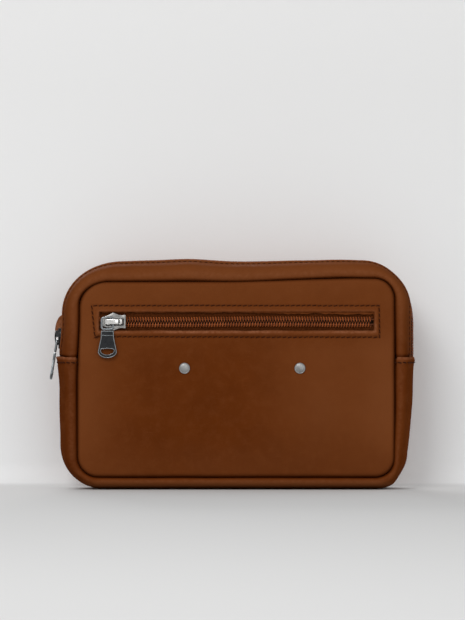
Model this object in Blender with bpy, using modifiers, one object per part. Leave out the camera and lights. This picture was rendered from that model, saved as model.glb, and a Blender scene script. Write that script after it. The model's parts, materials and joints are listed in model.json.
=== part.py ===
"""Leather waist pack: a zipped box pouch worn on a belt, with a zipped pocket in its front.

Metres, +Z up. The pack stands on its base at z = 0 with x = 0 and y = 0 in the middle of the body,
and its front faces -Y. The main zip runs over the top and down both sides to the mouth height, where
the front panel folds forward. Zip hardware is modelled in a frame of its own: x along the zip towards
the closed chain, y across it, z outwards with z = 0 at the outer face of the leather.
"""

import math

import bmesh
import bpy
from mathutils import Vector

# Body outline, seen from the front
UPPER_HALF_WIDTH = 0.112
LOWER_HALF_WIDTH = 0.1132
HEIGHT = 0.147
TOP_RADIUS = 0.032
BASE_RADIUS = 0.026
MOUTH_Z = 0.0845

# Seam between the panels and the gussets
SEAM_HALF_WIDTH = 0.1018
SEAM_BOTTOM = 0.0074
SEAM_TOP = 0.134
SEAM_RADIUS = 0.014

# Depth: the gussets are flat in the middle and roll in to the panels
HALF_DEPTH = 0.025
FLAT_HALF_DEPTH = 0.015
SEAM_LEDGE = 0.15
ROLL_STEPS = 5
CORNER_STEPS = 6
SMALL_CORNER_STEPS = 2
RING_CORNER_STEPS = 3
BEVEL_SEGMENTS = 2

# Sheet thicknesses and the clearance between neighbours
GAP = 0.0003
LEATHER = 0.0016
CLOTH = 0.0005
BAG_CLOTH = 0.0003
BOARD = 0.0012
TAPE = 0.0006

# Lining: its inset from the body outline, and where its front and back sheets stand
LINING_INSET = 0.0045
LINING_SEAM_INSET = 0.001
LINING_FLAT_HALF_DEPTH = 0.012
FRONT_LINING_Y = -0.0195
BACK_LINING_Y = 0.0211

# Base stiffener
BASE_BOARD_HALF_LENGTH = 0.08
BASE_BOARD_HALF_DEPTH = 0.013

# Zips: half of the slot between the leather edges, the chain and the tape
SLOT_HALF_WIDTH = 0.0059
CHAIN_HALF_GAP = 0.0006
CHAIN_HALF_WIDTH = 0.0032
CHAIN_PROUD = 0.0006
CHAIN_THICKNESS = 0.0022
CHAIN_ROUNDING = 0.0005
TAPE_HALF_WIDTH = 0.0135
TAPE_DEPTH = LEATHER + GAP
TAPE_FOOT_Z = 0.076
# The front chain beside the main slider's travel ends this far round the corner, in degrees
CHAIN_START_TURN = 7.0
CHAIN_JOIN_TURN = 2.0

# Pocket
POCKET_ZIP_Z = 0.1072
WINDOW_LEFT = -0.0872
WINDOW_RIGHT = 0.0877
WINDOW_RADIUS = 0.0008
POCKET_TAPE_END = 0.0025
POCKET_BAG_HALF_WIDTH = 0.092
POCKET_BAG_FRONT_Y = -0.0222
POCKET_BAG_BACK_Y = -0.0209
POCKET_BAG_BOTTOM = 0.03
POCKET_BAG_FRONT_TOP = 0.1009
POCKET_BAG_BACK_TOP = 0.118

# Sliders, in the zip's own frame
SLIDER_HALF_LENGTH = 0.0079
SLIDER_HALF_WIDTH = 0.00555
SLIDER_MOUTH_HALF_WIDTH = 0.0043
SLIDER_TIP_HALF_WIDTH = 0.0032
SLIDER_TOP = 0.00185
SLIDER_CEILING = 0.00095
SLIDER_FLANGE_FOOT = -0.0014
SLIDER_FLOOR = -0.0028
SLIDER_BOTTOM = -0.0036
SLIDER_CHANNEL_HALF_WIDTH = 0.0036
SLIDER_POST_HALF_WIDTH = 0.0003
SLIDER_POST_END = -0.0035
BRIDGE_START = -0.0054
BRIDGE_END = 0.0059
BRIDGE_HALF_WIDTH = 0.0021
BRIDGE_FOOT = SLIDER_TOP + GAP
BRIDGE_UNDERSIDE = 0.00375
BRIDGE_TOP = 0.00455
BRIDGE_LEG = 0.0014
BRIDGE_CHAMFER = 0.0005
POCKET_SLIDER_X = -0.0782
MAIN_SLIDER_Z = 0.0975

# Pullers: a square ring, a neck and a flared tongue with a finger hole
PULLER_THICKNESS = 0.0012
PULLER_HEIGHT = 0.0028
RING_OUTER_HALF = 0.00375
RING_INNER_HALF = 0.00265
RING_OUTER_RADIUS = 0.0015
RING_INNER_RADIUS = 0.0005
RING_FOOT = -0.0044
NECK_Y = -0.0052
NECK_HALF_WIDTH = 0.00385
TONGUE_Y = -0.0196
TONGUE_HALF_WIDTH = 0.006
TONGUE_DROP = 0.0036
TONGUE_STEPS = 12
FINGER_HOLE_Y = -0.0176
FINGER_HOLE_HALF_WIDTH = 0.00415
FINGER_HOLE_DROP = 0.0033
FINGER_HOLE_STEPS = 8
PIVOT_FROM_RING = (RING_OUTER_HALF + RING_INNER_HALF) / 2
POST_CENTRE = BRIDGE_START + BRIDGE_LEG / 2
MAIN_PULLER_TILT = math.radians(8.8)

# Front rivets
RIVET_Z = 0.0775
RIVET_X = {"left": -0.0328, "right": 0.0407}
RIVET_CAP_RADIUS = 0.0035
RIVET_CAP_RIM = 0.0004
RIVET_CAP_DOME = 0.0011
RIVET_SHANK_RADIUS = 0.00125
RIVET_HOLE_RADIUS = 0.0016
RIVET_SHANK_LENGTH = LEATHER + 2 * GAP
RIVET_WASHER_RADIUS = 0.004
RIVET_WASHER_THICKNESS = 0.0006
RIVET_SEGMENTS = 24
RIVET_DOME_STEPS = 4
RIVET_SHARP_ANGLE = math.radians(35)

# Belt loops on the back
LOOP_X = {"left": -0.055, "right": 0.055}
LOOP_HALF_WIDTH = 0.015
LOOP_LEATHER = 0.0018
LOOP_BOTTOM = 0.048
LOOP_TOP = 0.128
LOOP_TAB = 0.011
LOOP_RAMP = 0.005
LOOP_CLEARANCE = 0.0049


def corner(centre_x, centre_z, radius, first, last, steps=CORNER_STEPS):
    """Points along an arc from one angle to another, in degrees."""
    points = []
    for step in range(steps + 1):
        turn = math.radians(first + (last - first) * step / steps)
        points.append((centre_x + radius * math.cos(turn), centre_z + radius * math.sin(turn)))
    return points


def upper_path(half_width, top, radius, foot, left_turn=0.0):
    """From the left side over the top to the right side, starting left_turn degrees round the corner."""
    left = corner(radius - half_width, top - radius, radius, 180 - left_turn, 90)
    right = corner(half_width - radius, top - radius, radius, 90, 0)
    start = [] if left_turn else [(-half_width, foot)]
    return start + left + right + [(half_width, foot)]


def lower_path(half_width, bottom, radius, head):
    """From the right side under the base to the left side."""
    right = corner(half_width - radius, bottom + radius, radius, 0, -90)
    left = corner(radius - half_width, bottom + radius, radius, -90, -180)
    return [(half_width, head)] + right + left + [(-half_width, head)]


def zip_path(inset, foot, left_turn=0.0):
    """The main zip's run at a depth below the outer face of the leather."""
    return upper_path(
        UPPER_HALF_WIDTH - inset, HEIGHT - inset, TOP_RADIUS - inset, foot, left_turn
    )


def roll(seam_y, flat_y):
    """Share of the way from seam to body outline, and y, across a gusset's rolled edge."""
    points = [(0.0, seam_y), (SEAM_LEDGE, seam_y)]
    for step in range(1, ROLL_STEPS + 1):
        turn = math.pi / 2 * step / ROLL_STEPS
        share = SEAM_LEDGE + (1 - SEAM_LEDGE) * math.sin(turn)
        points.append((share, flat_y + (seam_y - flat_y) * math.cos(turn)))
    return points


def rings(seam, outline, across):
    """One ring of points for each (share, y), between the seam's path and the outline's path."""
    result = []
    for share, y in across:
        ring = []
        for inner, outer in zip(seam, outline):
            x = inner[0] + (outer[0] - inner[0]) * share
            z = inner[1] + (outer[1] - inner[1]) * share
            ring.append(Vector((x, y, z)))
        result.append(ring)
    return result


def finish(name, colour, roughness, metallic=0.0):
    material = bpy.data.materials.new(name)
    material.use_nodes = True
    shader = material.node_tree.nodes["Principled BSDF"]
    shader.inputs["Base Color"].default_value = (*colour, 1.0)
    shader.inputs["Roughness"].default_value = roughness
    shader.inputs["Metallic"].default_value = metallic
    return material


def leather(name):
    return finish(name, (0.110, 0.026, 0.006), 0.5)


def lining_cloth(name):
    return finish(name, (0.060, 0.034, 0.020), 0.85)


def tape_cloth(name):
    return finish(name, (0.105, 0.026, 0.0065), 0.8)


def coil_nylon(name):
    return finish(name, (0.110, 0.028, 0.0095), 0.4)


def nickel(name):
    return finish(name, (0.58, 0.57, 0.55), 0.25, 1.0)


def gunmetal(name):
    return finish(name, (0.045, 0.045, 0.048), 0.35, 1.0)


def board(name):
    return finish(name, (0.16, 0.12, 0.08), 0.9)


def add(name, data, make_finish, parent=None, location=(0, 0, 0), rotation=(0, 0, 0)):
    """A sub-part in the pack's collection, with a material of its own."""
    item = bpy.data.objects.new(name, data)
    pack.objects.link(item)
    data.materials.clear()
    data.materials.append(make_finish(name + "_finish"))
    item.parent = parent
    item.location = location
    item.rotation_euler = rotation
    return item


def shell(name, ring_points, thickness, make_finish):
    """An open surface through the rings, thickened towards the inside of the pack."""
    build = bmesh.new()
    rows = [[build.verts.new(point) for point in ring] for ring in ring_points]
    for row, after in zip(rows, rows[1:]):
        for i in range(len(row) - 1):
            build.faces.new((row[i], row[i + 1], after[i + 1], after[i]))
    data = bpy.data.meshes.new(name)
    build.to_mesh(data)
    build.free()
    item = add(name, data, make_finish)
    solid = item.modifiers.new("thickness", "SOLIDIFY")
    solid.thickness = thickness
    solid.offset = -1
    solid.use_even_offset = True
    return item


def flat_curve(name, outlines, thickness):
    """A flat outline, holes included, extruded to a thickness either side of its plane."""
    data = bpy.data.curves.new(name, "CURVE")
    data.dimensions = "2D"
    data.fill_mode = "BOTH"
    data.extrude = thickness / 2
    for outline in outlines:
        spline = data.splines.new("POLY")
        spline.points.add(len(outline) - 1)
        for point, (x, y) in zip(spline.points, outline):
            point.co = (x, y, 0, 1)
        spline.use_cyclic_u = True
    return data


def upright_sheet(name, outlines, face_y, thickness, make_finish):
    """A flat piece parallel to the front: its outline is in x and z, its lowest y is face_y."""
    data = flat_curve(name, outlines, thickness)
    place = (0, face_y + thickness / 2, 0)
    return add(name, data, make_finish, location=place, rotation=(math.pi / 2, 0, 0))


def side_profile(name, outline, centre_x, half_width, make_finish):
    """A piece whose outline is in y and z, extruded along x."""
    data = flat_curve(name, [outline], 2 * half_width)
    turn = (math.pi / 2, 0, math.pi / 2)
    return add(name, data, make_finish, location=(centre_x, 0, 0), rotation=turn)


def block_mesh(name, low, high):
    build = bmesh.new()
    bmesh.ops.create_cube(build, size=1.0)
    size = [b - a for a, b in zip(low, high)]
    centre = [(a + b) / 2 for a, b in zip(low, high)]
    bmesh.ops.scale(build, vec=size, verts=build.verts)
    bmesh.ops.translate(build, vec=centre, verts=build.verts)
    data = bpy.data.meshes.new(name)
    build.to_mesh(data)
    build.free()
    return data


def block(name, low, high, make_finish, rounding=0.0):
    item = add(name, block_mesh(name, low, high), make_finish)
    if rounding:
        bevel = item.modifiers.new("rounding", "BEVEL")
        bevel.width = rounding
        bevel.segments = BEVEL_SEGMENTS
    return item


def turned(name, profile, make_finish, place):
    """A profile in radius and height spun about an axis that points to the front."""
    data = bpy.data.meshes.new(name)
    edges = [(i, i + 1) for i in range(len(profile) - 1)]
    data.from_pydata([(radius, 0, height) for radius, height in profile], edges, [])
    item = add(name, data, make_finish, location=place, rotation=(math.pi / 2, 0, 0))
    spin = item.modifiers.new("turn", "SCREW")
    spin.steps = RIVET_SEGMENTS
    spin.render_steps = RIVET_SEGMENTS
    spin.use_merge_vertices = True
    spin.merge_threshold = 0.00001
    return item


def circle(centre_x, centre_z, radius):
    return corner(centre_x, centre_z, radius, 0, 360, RIVET_SEGMENTS)[:-1]


def rounded_box(left, right, bottom, top, radius):
    points = corner(right - radius, top - radius, radius, 0, 90, SMALL_CORNER_STEPS)
    points += corner(left + radius, top - radius, radius, 90, 180, SMALL_CORNER_STEPS)
    points += corner(left + radius, bottom + radius, radius, 180, 270, SMALL_CORNER_STEPS)
    points += corner(right - radius, bottom + radius, radius, 270, 360, SMALL_CORNER_STEPS)
    return points


def upper_sheet_outline(inset=0.0):
    return upper_path(
        SEAM_HALF_WIDTH - GAP - inset, SEAM_TOP - GAP - inset, SEAM_RADIUS - inset, MOUTH_Z + GAP / 2
    )


def lower_sheet_outline(inset=0.0):
    return lower_path(
        SEAM_HALF_WIDTH - GAP - inset, SEAM_BOTTOM + GAP + inset, SEAM_RADIUS - inset, MOUTH_Z - GAP / 2
    )


def full_sheet_outline(inset=0.0):
    """The closed outline of a panel that isn't divided at the mouth."""
    return upper_sheet_outline(inset)[1:-1] + lower_sheet_outline(inset)[1:-1]


def panels():
    window = rounded_box(
        WINDOW_LEFT,
        WINDOW_RIGHT,
        POCKET_ZIP_Z - SLOT_HALF_WIDTH,
        POCKET_ZIP_Z + SLOT_HALF_WIDTH,
        WINDOW_RADIUS,
    )
    holes = [circle(x, RIVET_Z, RIVET_HOLE_RADIUS) for x in RIVET_X.values()]
    front = -HALF_DEPTH
    upright_sheet("front_panel_upper", [upper_sheet_outline(), window], front, LEATHER, leather)
    upright_sheet("front_panel_lower", [lower_sheet_outline()] + holes, front, LEATHER, leather)
    back = HALF_DEPTH - LEATHER
    upright_sheet("back_panel", [full_sheet_outline()], back, LEATHER, leather)
    stiffener = [full_sheet_outline(LINING_SEAM_INSET)]
    upright_sheet("back_stiffener", stiffener, back - GAP - BOARD, BOARD, board)


def linings():
    inset = LINING_SEAM_INSET
    upper = [upper_sheet_outline(inset)]
    lower = [lower_sheet_outline(inset)]
    upright_sheet("front_lining_upper", upper, FRONT_LINING_Y, CLOTH, lining_cloth)
    upright_sheet("front_lining_lower", lower, FRONT_LINING_Y, CLOTH, lining_cloth)
    upright_sheet("back_lining", [full_sheet_outline(inset)], BACK_LINING_Y, CLOTH, lining_cloth)
    front_edge = FRONT_LINING_Y + CLOTH + GAP
    back_edge = BACK_LINING_Y - GAP
    across = roll(front_edge, -LINING_FLAT_HALF_DEPTH)
    across += reversed(roll(back_edge, LINING_FLAT_HALF_DEPTH))
    outline = lower_path(
        LOWER_HALF_WIDTH - LINING_INSET, LINING_INSET, BASE_RADIUS - LINING_INSET, MOUTH_Z - GAP / 2
    )
    lining_rings = rings(lower_sheet_outline(inset), outline, across)
    shell("lower_gusset_lining", lining_rings, CLOTH, lining_cloth)


def gussets():
    upper_seam = upper_path(SEAM_HALF_WIDTH, SEAM_TOP, SEAM_RADIUS, MOUTH_Z + GAP / 2)
    upper_outline = zip_path(0.0, MOUTH_Z + GAP / 2)
    across = roll(-HALF_DEPTH, -FLAT_HALF_DEPTH) + [(1.0, -SLOT_HALF_WIDTH)]
    shell("front_zip_gusset", rings(upper_seam, upper_outline, across), LEATHER, leather)
    behind = [(share, -y) for share, y in reversed(across)]
    shell("rear_zip_gusset", rings(upper_seam, upper_outline, behind), LEATHER, leather)
    lower_seam = lower_path(SEAM_HALF_WIDTH, SEAM_BOTTOM, SEAM_RADIUS, MOUTH_Z - GAP / 2)
    lower_outline = lower_path(LOWER_HALF_WIDTH, 0.0, BASE_RADIUS, MOUTH_Z - GAP / 2)
    across = roll(-HALF_DEPTH, -FLAT_HALF_DEPTH)
    across += [(share, -y) for share, y in reversed(across)]
    shell("lower_gusset", rings(lower_seam, lower_outline, across), LEATHER, leather)
    floor = LEATHER + GAP
    low = (-BASE_BOARD_HALF_LENGTH, -BASE_BOARD_HALF_DEPTH, floor)
    high = (BASE_BOARD_HALF_LENGTH, BASE_BOARD_HALF_DEPTH, floor + BOARD)
    block("base_stiffener", low, high, board)


def zip_band(name, path, first_y, last_y, thickness, make_finish):
    """A band of constant width that follows the main zip."""
    across = [(1.0, first_y), (1.0, last_y)]
    return shell(name, rings(path, path, across), thickness, make_finish)


def main_zip():
    foot = MOUTH_Z + GAP
    chain_inset = -CHAIN_PROUD
    join_turn = CHAIN_START_TURN + CHAIN_JOIN_TURN

    def start_path(inset, start_foot):
        radius = TOP_RADIUS - inset
        half_width = UPPER_HALF_WIDTH - inset
        centre = radius - half_width, HEIGHT - inset - radius
        bend = corner(*centre, radius, 180, 180 - CHAIN_START_TURN, 1)
        return [(-half_width, start_foot)] + bend

    inner, outer = CHAIN_HALF_GAP, CHAIN_HALF_WIDTH
    chain = (CHAIN_THICKNESS, coil_nylon)
    zip_band("main_zip_coil_rear", zip_path(chain_inset, foot), inner, outer, *chain)
    zip_band("main_zip_coil_front", zip_path(chain_inset, foot, join_turn), -outer, -inner, *chain)
    zip_band("main_zip_coil_start", start_path(chain_inset, foot), -outer, -inner, *chain)
    edge = TAPE_HALF_WIDTH
    tape = (TAPE, tape_cloth)
    zip_band("main_zip_tape_rear", zip_path(TAPE_DEPTH, TAPE_FOOT_Z), inner, edge, *tape)
    zip_band("main_zip_tape_front", zip_path(TAPE_DEPTH, foot, join_turn), -edge, -inner, *tape)
    zip_band("main_zip_tape_start", start_path(TAPE_DEPTH, TAPE_FOOT_Z), -edge, -inner, *tape)


def pocket_zip():
    left = WINDOW_LEFT - POCKET_TAPE_END
    right = WINDOW_RIGHT + POCKET_TAPE_END
    tape_front = TAPE_DEPTH - HALF_DEPTH
    chain_front = -HALF_DEPTH - CHAIN_PROUD
    for name, side in (("upper", 1), ("lower", -1)):
        edge, inner = sorted((side * TAPE_HALF_WIDTH, side * CHAIN_HALF_GAP))
        low = (left, tape_front, POCKET_ZIP_Z + edge)
        high = (right, tape_front + TAPE, POCKET_ZIP_Z + inner)
        block("pocket_zip_tape_" + name, low, high, tape_cloth)
        edge, inner = sorted((side * CHAIN_HALF_WIDTH, side * CHAIN_HALF_GAP))
        low = (WINDOW_LEFT + GAP, chain_front, POCKET_ZIP_Z + edge)
        high = (WINDOW_RIGHT - GAP, chain_front + CHAIN_THICKNESS, POCKET_ZIP_Z + inner)
        block("pocket_zip_coil_" + name, low, high, coil_nylon, CHAIN_ROUNDING)


def pocket_bag():
    """Two layers of cloth behind the window, divided at the mouth, folded together at the bottom."""
    width = POCKET_BAG_HALF_WIDTH
    foot = MOUTH_Z + GAP / 2
    front, back, cloth = POCKET_BAG_FRONT_Y, POCKET_BAG_BACK_Y, BAG_CLOTH
    low = (-width, front, foot)
    block("pocket_bag_front_upper", low, (width, front + cloth, POCKET_BAG_FRONT_TOP), lining_cloth)
    low = (-width, back, foot)
    block("pocket_bag_back_upper", low, (width, back + cloth, POCKET_BAG_BACK_TOP), lining_cloth)
    head = MOUTH_Z - GAP / 2
    bottom = POCKET_BAG_BOTTOM
    fold = [
        (front, bottom),
        (back + cloth, bottom),
        (back + cloth, head),
        (back, head),
        (back, bottom + cloth),
        (front + cloth, bottom + cloth),
        (front + cloth, head),
        (front, head),
    ]
    side_profile("pocket_bag_lower", fold, 0.0, width, lining_cloth)


def slider_outline():
    right_side = [
        (-SLIDER_HALF_LENGTH, SLIDER_TIP_HALF_WIDTH),
        (-SLIDER_HALF_LENGTH / 2, SLIDER_MOUTH_HALF_WIDTH),
        (0.0, SLIDER_HALF_WIDTH),
        (SLIDER_HALF_LENGTH / 2, SLIDER_MOUTH_HALF_WIDTH),
        (SLIDER_HALF_LENGTH, SLIDER_MOUTH_HALF_WIDTH),
    ]
    return right_side + [(x, -y) for x, y in reversed(right_side)]


def cutter(name, low, high):
    item = bpy.data.objects.new(name, block_mesh(name, low, high))
    cutters.objects.link(item)
    item.hide_render = True
    item.display_type = "WIRE"
    return item


def slider_mesh():
    """Top and bottom plates joined by a post at the tip, with a chain channel and tape slots between."""
    build = bmesh.new()
    corners = [build.verts.new((x, y, SLIDER_BOTTOM)) for x, y in slider_outline()]
    face = build.faces.new(corners)
    grown = bmesh.ops.extrude_face_region(build, geom=[face])["geom"]
    raised = [item for item in grown if isinstance(item, bmesh.types.BMVert)]
    bmesh.ops.translate(build, vec=(0, 0, SLIDER_TOP - SLIDER_BOTTOM), verts=raised)
    bmesh.ops.recalc_face_normals(build, faces=build.faces)
    data = bpy.data.meshes.new("slider_blank")
    build.to_mesh(data)
    build.free()
    blank = bpy.data.objects.new("slider_blank", data)
    cutters.objects.link(blank)
    past = 2 * SLIDER_HALF_LENGTH
    post = SLIDER_POST_HALF_WIDTH
    slot_top = SLIDER_FLANGE_FOOT
    tools = []
    for name, side in (("upper", 1), ("lower", -1)):
        near, far = sorted((side * post, side * SLIDER_CHANNEL_HALF_WIDTH))
        low, high = (-past, near, SLIDER_FLOOR), (past, far, SLIDER_CEILING)
        tools.append(cutter("chain_channel_" + name, low, high))
        near, far = sorted((side * 2 * post, side * past))
        low, high = (-past, near, SLIDER_FLOOR), (past, far, slot_top)
        tools.append(cutter("tape_slot_" + name, low, high))
    low, high = (SLIDER_POST_END, -2 * post, SLIDER_FLOOR), (past, 2 * post, SLIDER_CEILING)
    tools.append(cutter("closed_chain_slot", low, high))
    for tool in tools:
        cut = blank.modifiers.new(tool.name, "BOOLEAN")
        cut.operation = "DIFFERENCE"
        cut.solver = "EXACT"
        cut.object = tool
    bpy.context.view_layer.update()
    shaped = bpy.data.meshes.new_from_object(blank.evaluated_get(bpy.context.evaluated_depsgraph_get()))
    for tool in [blank] + tools:
        bpy.data.objects.remove(tool)
    return shaped


def bridge_curve(name):
    """The arch over the slider that the puller's ring hangs on, as a side outline."""
    start, end, leg, chamfer = BRIDGE_START, BRIDGE_END, BRIDGE_LEG, BRIDGE_CHAMFER
    outline = [
        (start, BRIDGE_FOOT),
        (start + leg, BRIDGE_FOOT),
        (start + leg, BRIDGE_UNDERSIDE),
        (end - leg, BRIDGE_UNDERSIDE),
        (end - leg, BRIDGE_FOOT),
        (end, BRIDGE_FOOT),
        (end, BRIDGE_TOP - chamfer),
        (end - chamfer, BRIDGE_TOP),
        (start + chamfer, BRIDGE_TOP),
        (start, BRIDGE_TOP - chamfer),
    ]
    return flat_curve(name, [outline], 2 * BRIDGE_HALF_WIDTH)


def half_ellipse(centre_y, half_width, drop, steps):
    """From the right end down and round to the left end."""
    turns = [math.pi * step / steps for step in range(steps + 1)]
    return [(half_width * math.cos(turn), centre_y - drop * math.sin(turn)) for turn in turns]


def puller_curve(name):
    """Hangs along -y from a ring whose middle is the origin."""
    outer, inner = RING_OUTER_HALF, RING_INNER_HALF
    bend = outer - RING_OUTER_RADIUS
    outline = corner(-bend, bend, RING_OUTER_RADIUS, 180, 90, RING_CORNER_STEPS)
    outline += corner(bend, bend, RING_OUTER_RADIUS, 90, 0, RING_CORNER_STEPS)
    outline += [(NECK_HALF_WIDTH, NECK_Y)]
    outline += half_ellipse(TONGUE_Y, TONGUE_HALF_WIDTH, TONGUE_DROP, TONGUE_STEPS)
    outline += [(-NECK_HALF_WIDTH, NECK_Y)]
    ring_hole = rounded_box(-inner, inner, RING_FOOT, inner, RING_INNER_RADIUS)
    finger_hole = half_ellipse(FINGER_HOLE_Y, FINGER_HOLE_HALF_WIDTH, FINGER_HOLE_DROP, FINGER_HOLE_STEPS)
    return flat_curve(name, [outline, ring_hole, finger_hole], PULLER_THICKNESS)


def guide(name, location, rotation=(0, 0, 0), parent=None):
    item = bpy.data.objects.new(name, None)
    pack.objects.link(item)
    item.parent = parent
    item.location = location
    item.rotation_euler = rotation
    return item


def zip_hardware():
    """Both sliders, each on a carriage whose x axis runs along its zip, and their pullers."""
    quarter = math.pi / 2
    pocket_place = (POCKET_SLIDER_X, -HALF_DEPTH, POCKET_ZIP_Z)
    pocket = guide("pocket_slider_carriage", pocket_place, (quarter, 0, 0))
    main = guide("main_slider_carriage", (-UPPER_HALF_WIDTH, 0, MAIN_SLIDER_Z), (0, -quarter, 0))
    body = slider_mesh()
    for name, carriage in (("pocket", pocket), ("main", main)):
        add(name + "_slider_body", body.copy(), nickel, carriage)
        bridge = bridge_curve(name + "_slider_bridge")
        add(name + "_slider_bridge", bridge, nickel, carriage, rotation=(quarter, 0, 0))
    bpy.data.meshes.remove(body)
    swivel = guide("pocket_puller_pivot", (POST_CENTRE, 0, PULLER_HEIGHT), parent=pocket)
    add("pocket_puller", puller_curve("pocket_puller"), gunmetal, swivel)
    pivot_place = (POST_CENTRE + PIVOT_FROM_RING, 0, PULLER_HEIGHT)
    lift = guide("main_puller_pivot", pivot_place, (0, MAIN_PULLER_TILT, 0), main)
    ring_place = (-PIVOT_FROM_RING, 0, 0)
    add("main_puller", puller_curve("main_puller"), gunmetal, lift, ring_place, (0, 0, -quarter))


def rivets():
    """Domed caps whose shanks pass through the front panel into washers behind it."""
    rim = RIVET_CAP_RIM
    dome = []
    for step in range(RIVET_DOME_STEPS + 1):
        turn = math.pi / 2 * step / RIVET_DOME_STEPS
        height = GAP + rim + RIVET_CAP_DOME * math.cos(turn)
        dome.append((RIVET_CAP_RADIUS * math.sin(turn), height))
    foot = -RIVET_SHANK_LENGTH
    shank = [(RIVET_SHANK_RADIUS, GAP), (RIVET_SHANK_RADIUS, foot), (0.0, foot)]
    cap = dome + [(RIVET_CAP_RADIUS, GAP)] + shank
    washer_top = -LEATHER - GAP
    washer_foot = washer_top - RIVET_WASHER_THICKNESS
    washer = [
        (RIVET_HOLE_RADIUS, washer_top),
        (RIVET_WASHER_RADIUS, washer_top),
        (RIVET_WASHER_RADIUS, washer_foot),
        (RIVET_HOLE_RADIUS, washer_foot),
        (RIVET_HOLE_RADIUS, washer_top),
    ]
    for side, x in RIVET_X.items():
        place = (x, -HALF_DEPTH, RIVET_Z)
        turned("rivet_cap_" + side, cap, nickel, place)
        turned("rivet_washer_" + side, washer, nickel, place)


def belt_loops():
    """Straps sewn flat at both ends and standing off the back between them."""
    face = HALF_DEPTH + GAP
    raised = HALF_DEPTH + LOOP_CLEARANCE
    thick = LOOP_LEATHER
    low_tab, high_tab = LOOP_BOTTOM + LOOP_TAB, LOOP_TOP - LOOP_TAB
    outline = [
        (face, LOOP_BOTTOM),
        (face + thick, LOOP_BOTTOM),
        (face + thick, low_tab),
        (raised + thick, low_tab + LOOP_RAMP),
        (raised + thick, high_tab - LOOP_RAMP),
        (face + thick, high_tab),
        (face + thick, LOOP_TOP),
        (face, LOOP_TOP),
        (face, high_tab - thick),
        (raised, high_tab - LOOP_RAMP - thick),
        (raised, low_tab + LOOP_RAMP + thick),
        (face, low_tab + thick),
    ]
    for side, x in LOOP_X.items():
        side_profile("belt_loop_" + side, outline, x, LOOP_HALF_WIDTH, leather)


def smooth_round_pieces():
    for item in pack.objects:
        if item.type == "MESH" and item.name.startswith("rivet"):
            item.data.shade_smooth()
            item.data.set_sharp_from_angle(angle=RIVET_SHARP_ANGLE)


for item in list(bpy.data.objects):
    bpy.data.objects.remove(item)
pack = bpy.data.collections.new("waist_pack")
cutters = bpy.data.collections.new("cutters")
bpy.context.scene.collection.children.link(pack)
bpy.context.scene.collection.children.link(cutters)
panels()
linings()
gussets()
main_zip()
pocket_zip()
pocket_bag()
zip_hardware()
rivets()
belt_loops()
smooth_round_pieces()
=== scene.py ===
import json
import math

import bpy
import numpy as np
from mathutils import Matrix, Vector

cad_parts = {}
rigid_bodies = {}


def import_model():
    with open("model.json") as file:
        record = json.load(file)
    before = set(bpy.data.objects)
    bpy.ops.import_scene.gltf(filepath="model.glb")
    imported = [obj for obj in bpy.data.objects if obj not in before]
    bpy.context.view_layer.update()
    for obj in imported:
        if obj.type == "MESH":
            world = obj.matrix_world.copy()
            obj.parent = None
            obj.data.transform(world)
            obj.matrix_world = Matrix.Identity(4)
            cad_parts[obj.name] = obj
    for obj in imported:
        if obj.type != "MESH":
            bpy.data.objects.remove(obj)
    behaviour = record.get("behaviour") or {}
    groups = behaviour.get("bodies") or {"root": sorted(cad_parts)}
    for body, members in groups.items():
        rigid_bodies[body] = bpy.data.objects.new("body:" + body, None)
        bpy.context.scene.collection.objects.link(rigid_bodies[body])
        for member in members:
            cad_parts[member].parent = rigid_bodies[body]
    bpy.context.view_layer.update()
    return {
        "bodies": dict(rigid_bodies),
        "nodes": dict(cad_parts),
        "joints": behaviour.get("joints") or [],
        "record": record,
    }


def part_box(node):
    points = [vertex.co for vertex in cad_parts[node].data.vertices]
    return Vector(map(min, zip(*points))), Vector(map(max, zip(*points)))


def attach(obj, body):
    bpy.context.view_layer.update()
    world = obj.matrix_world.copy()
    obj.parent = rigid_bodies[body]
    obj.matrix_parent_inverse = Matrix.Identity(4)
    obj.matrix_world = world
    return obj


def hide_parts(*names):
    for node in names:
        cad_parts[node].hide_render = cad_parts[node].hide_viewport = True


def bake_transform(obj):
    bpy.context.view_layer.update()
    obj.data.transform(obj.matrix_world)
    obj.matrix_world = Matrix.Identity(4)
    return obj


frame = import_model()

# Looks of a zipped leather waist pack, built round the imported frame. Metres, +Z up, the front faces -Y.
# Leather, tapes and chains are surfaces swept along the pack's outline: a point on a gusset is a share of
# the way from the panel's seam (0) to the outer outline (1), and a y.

MM = 0.001

# ---------------------------------------------------------------- sizes read from the frame
upper_low, upper_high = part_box("rear_zip_gusset")
lower_low, lower_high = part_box("lower_gusset")
panel_low, panel_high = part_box("back_panel")
joints = {joint["name"]: joint for joint in frame["record"]["behaviour"]["joints"]}
MOUTH_Z = joints["mouth_open"]["pos_m"][2]
FRONT_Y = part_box("front_panel_lower")[0][1]
BACK_Y = panel_high[1]
TOP = upper_high[2]
LEATHER = panel_high[1] - panel_low[1]
pocket_low, pocket_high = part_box("pocket_zip_coil_lower")[0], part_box("pocket_zip_coil_upper")[1]
POCKET_Z = (pocket_low[2] + pocket_high[2]) / 2 - 0.0002

# ---------------------------------------------------------------- outlines seen from the front
# Corner radii across and up: top left, top right, bottom right, bottom left
OUTER_RADII = ((0.0397, 0.0358), (0.0307, 0.0350), (0.0235, 0.0235), (0.0280, 0.0294))
SEAM_RADII = ((0.0200, 0.0150), (0.0135, 0.0135), (0.0130, 0.0130), (0.0135, 0.0135))
SEAM_TOP_RISE = 0.0022                            # the top seam climbs to the right
SEAM_LEFT_LEAN = 0.0014
SEAM_TOP_DROP = 0.0006
UPPER_SIDE_STATIONS = 40
LOWER_SIDE_STATIONS = 30
BEND_STATIONS = 26
LENGTH_STATIONS = 100
PACK_MIDDLE = (0, 0, 0.09)


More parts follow.
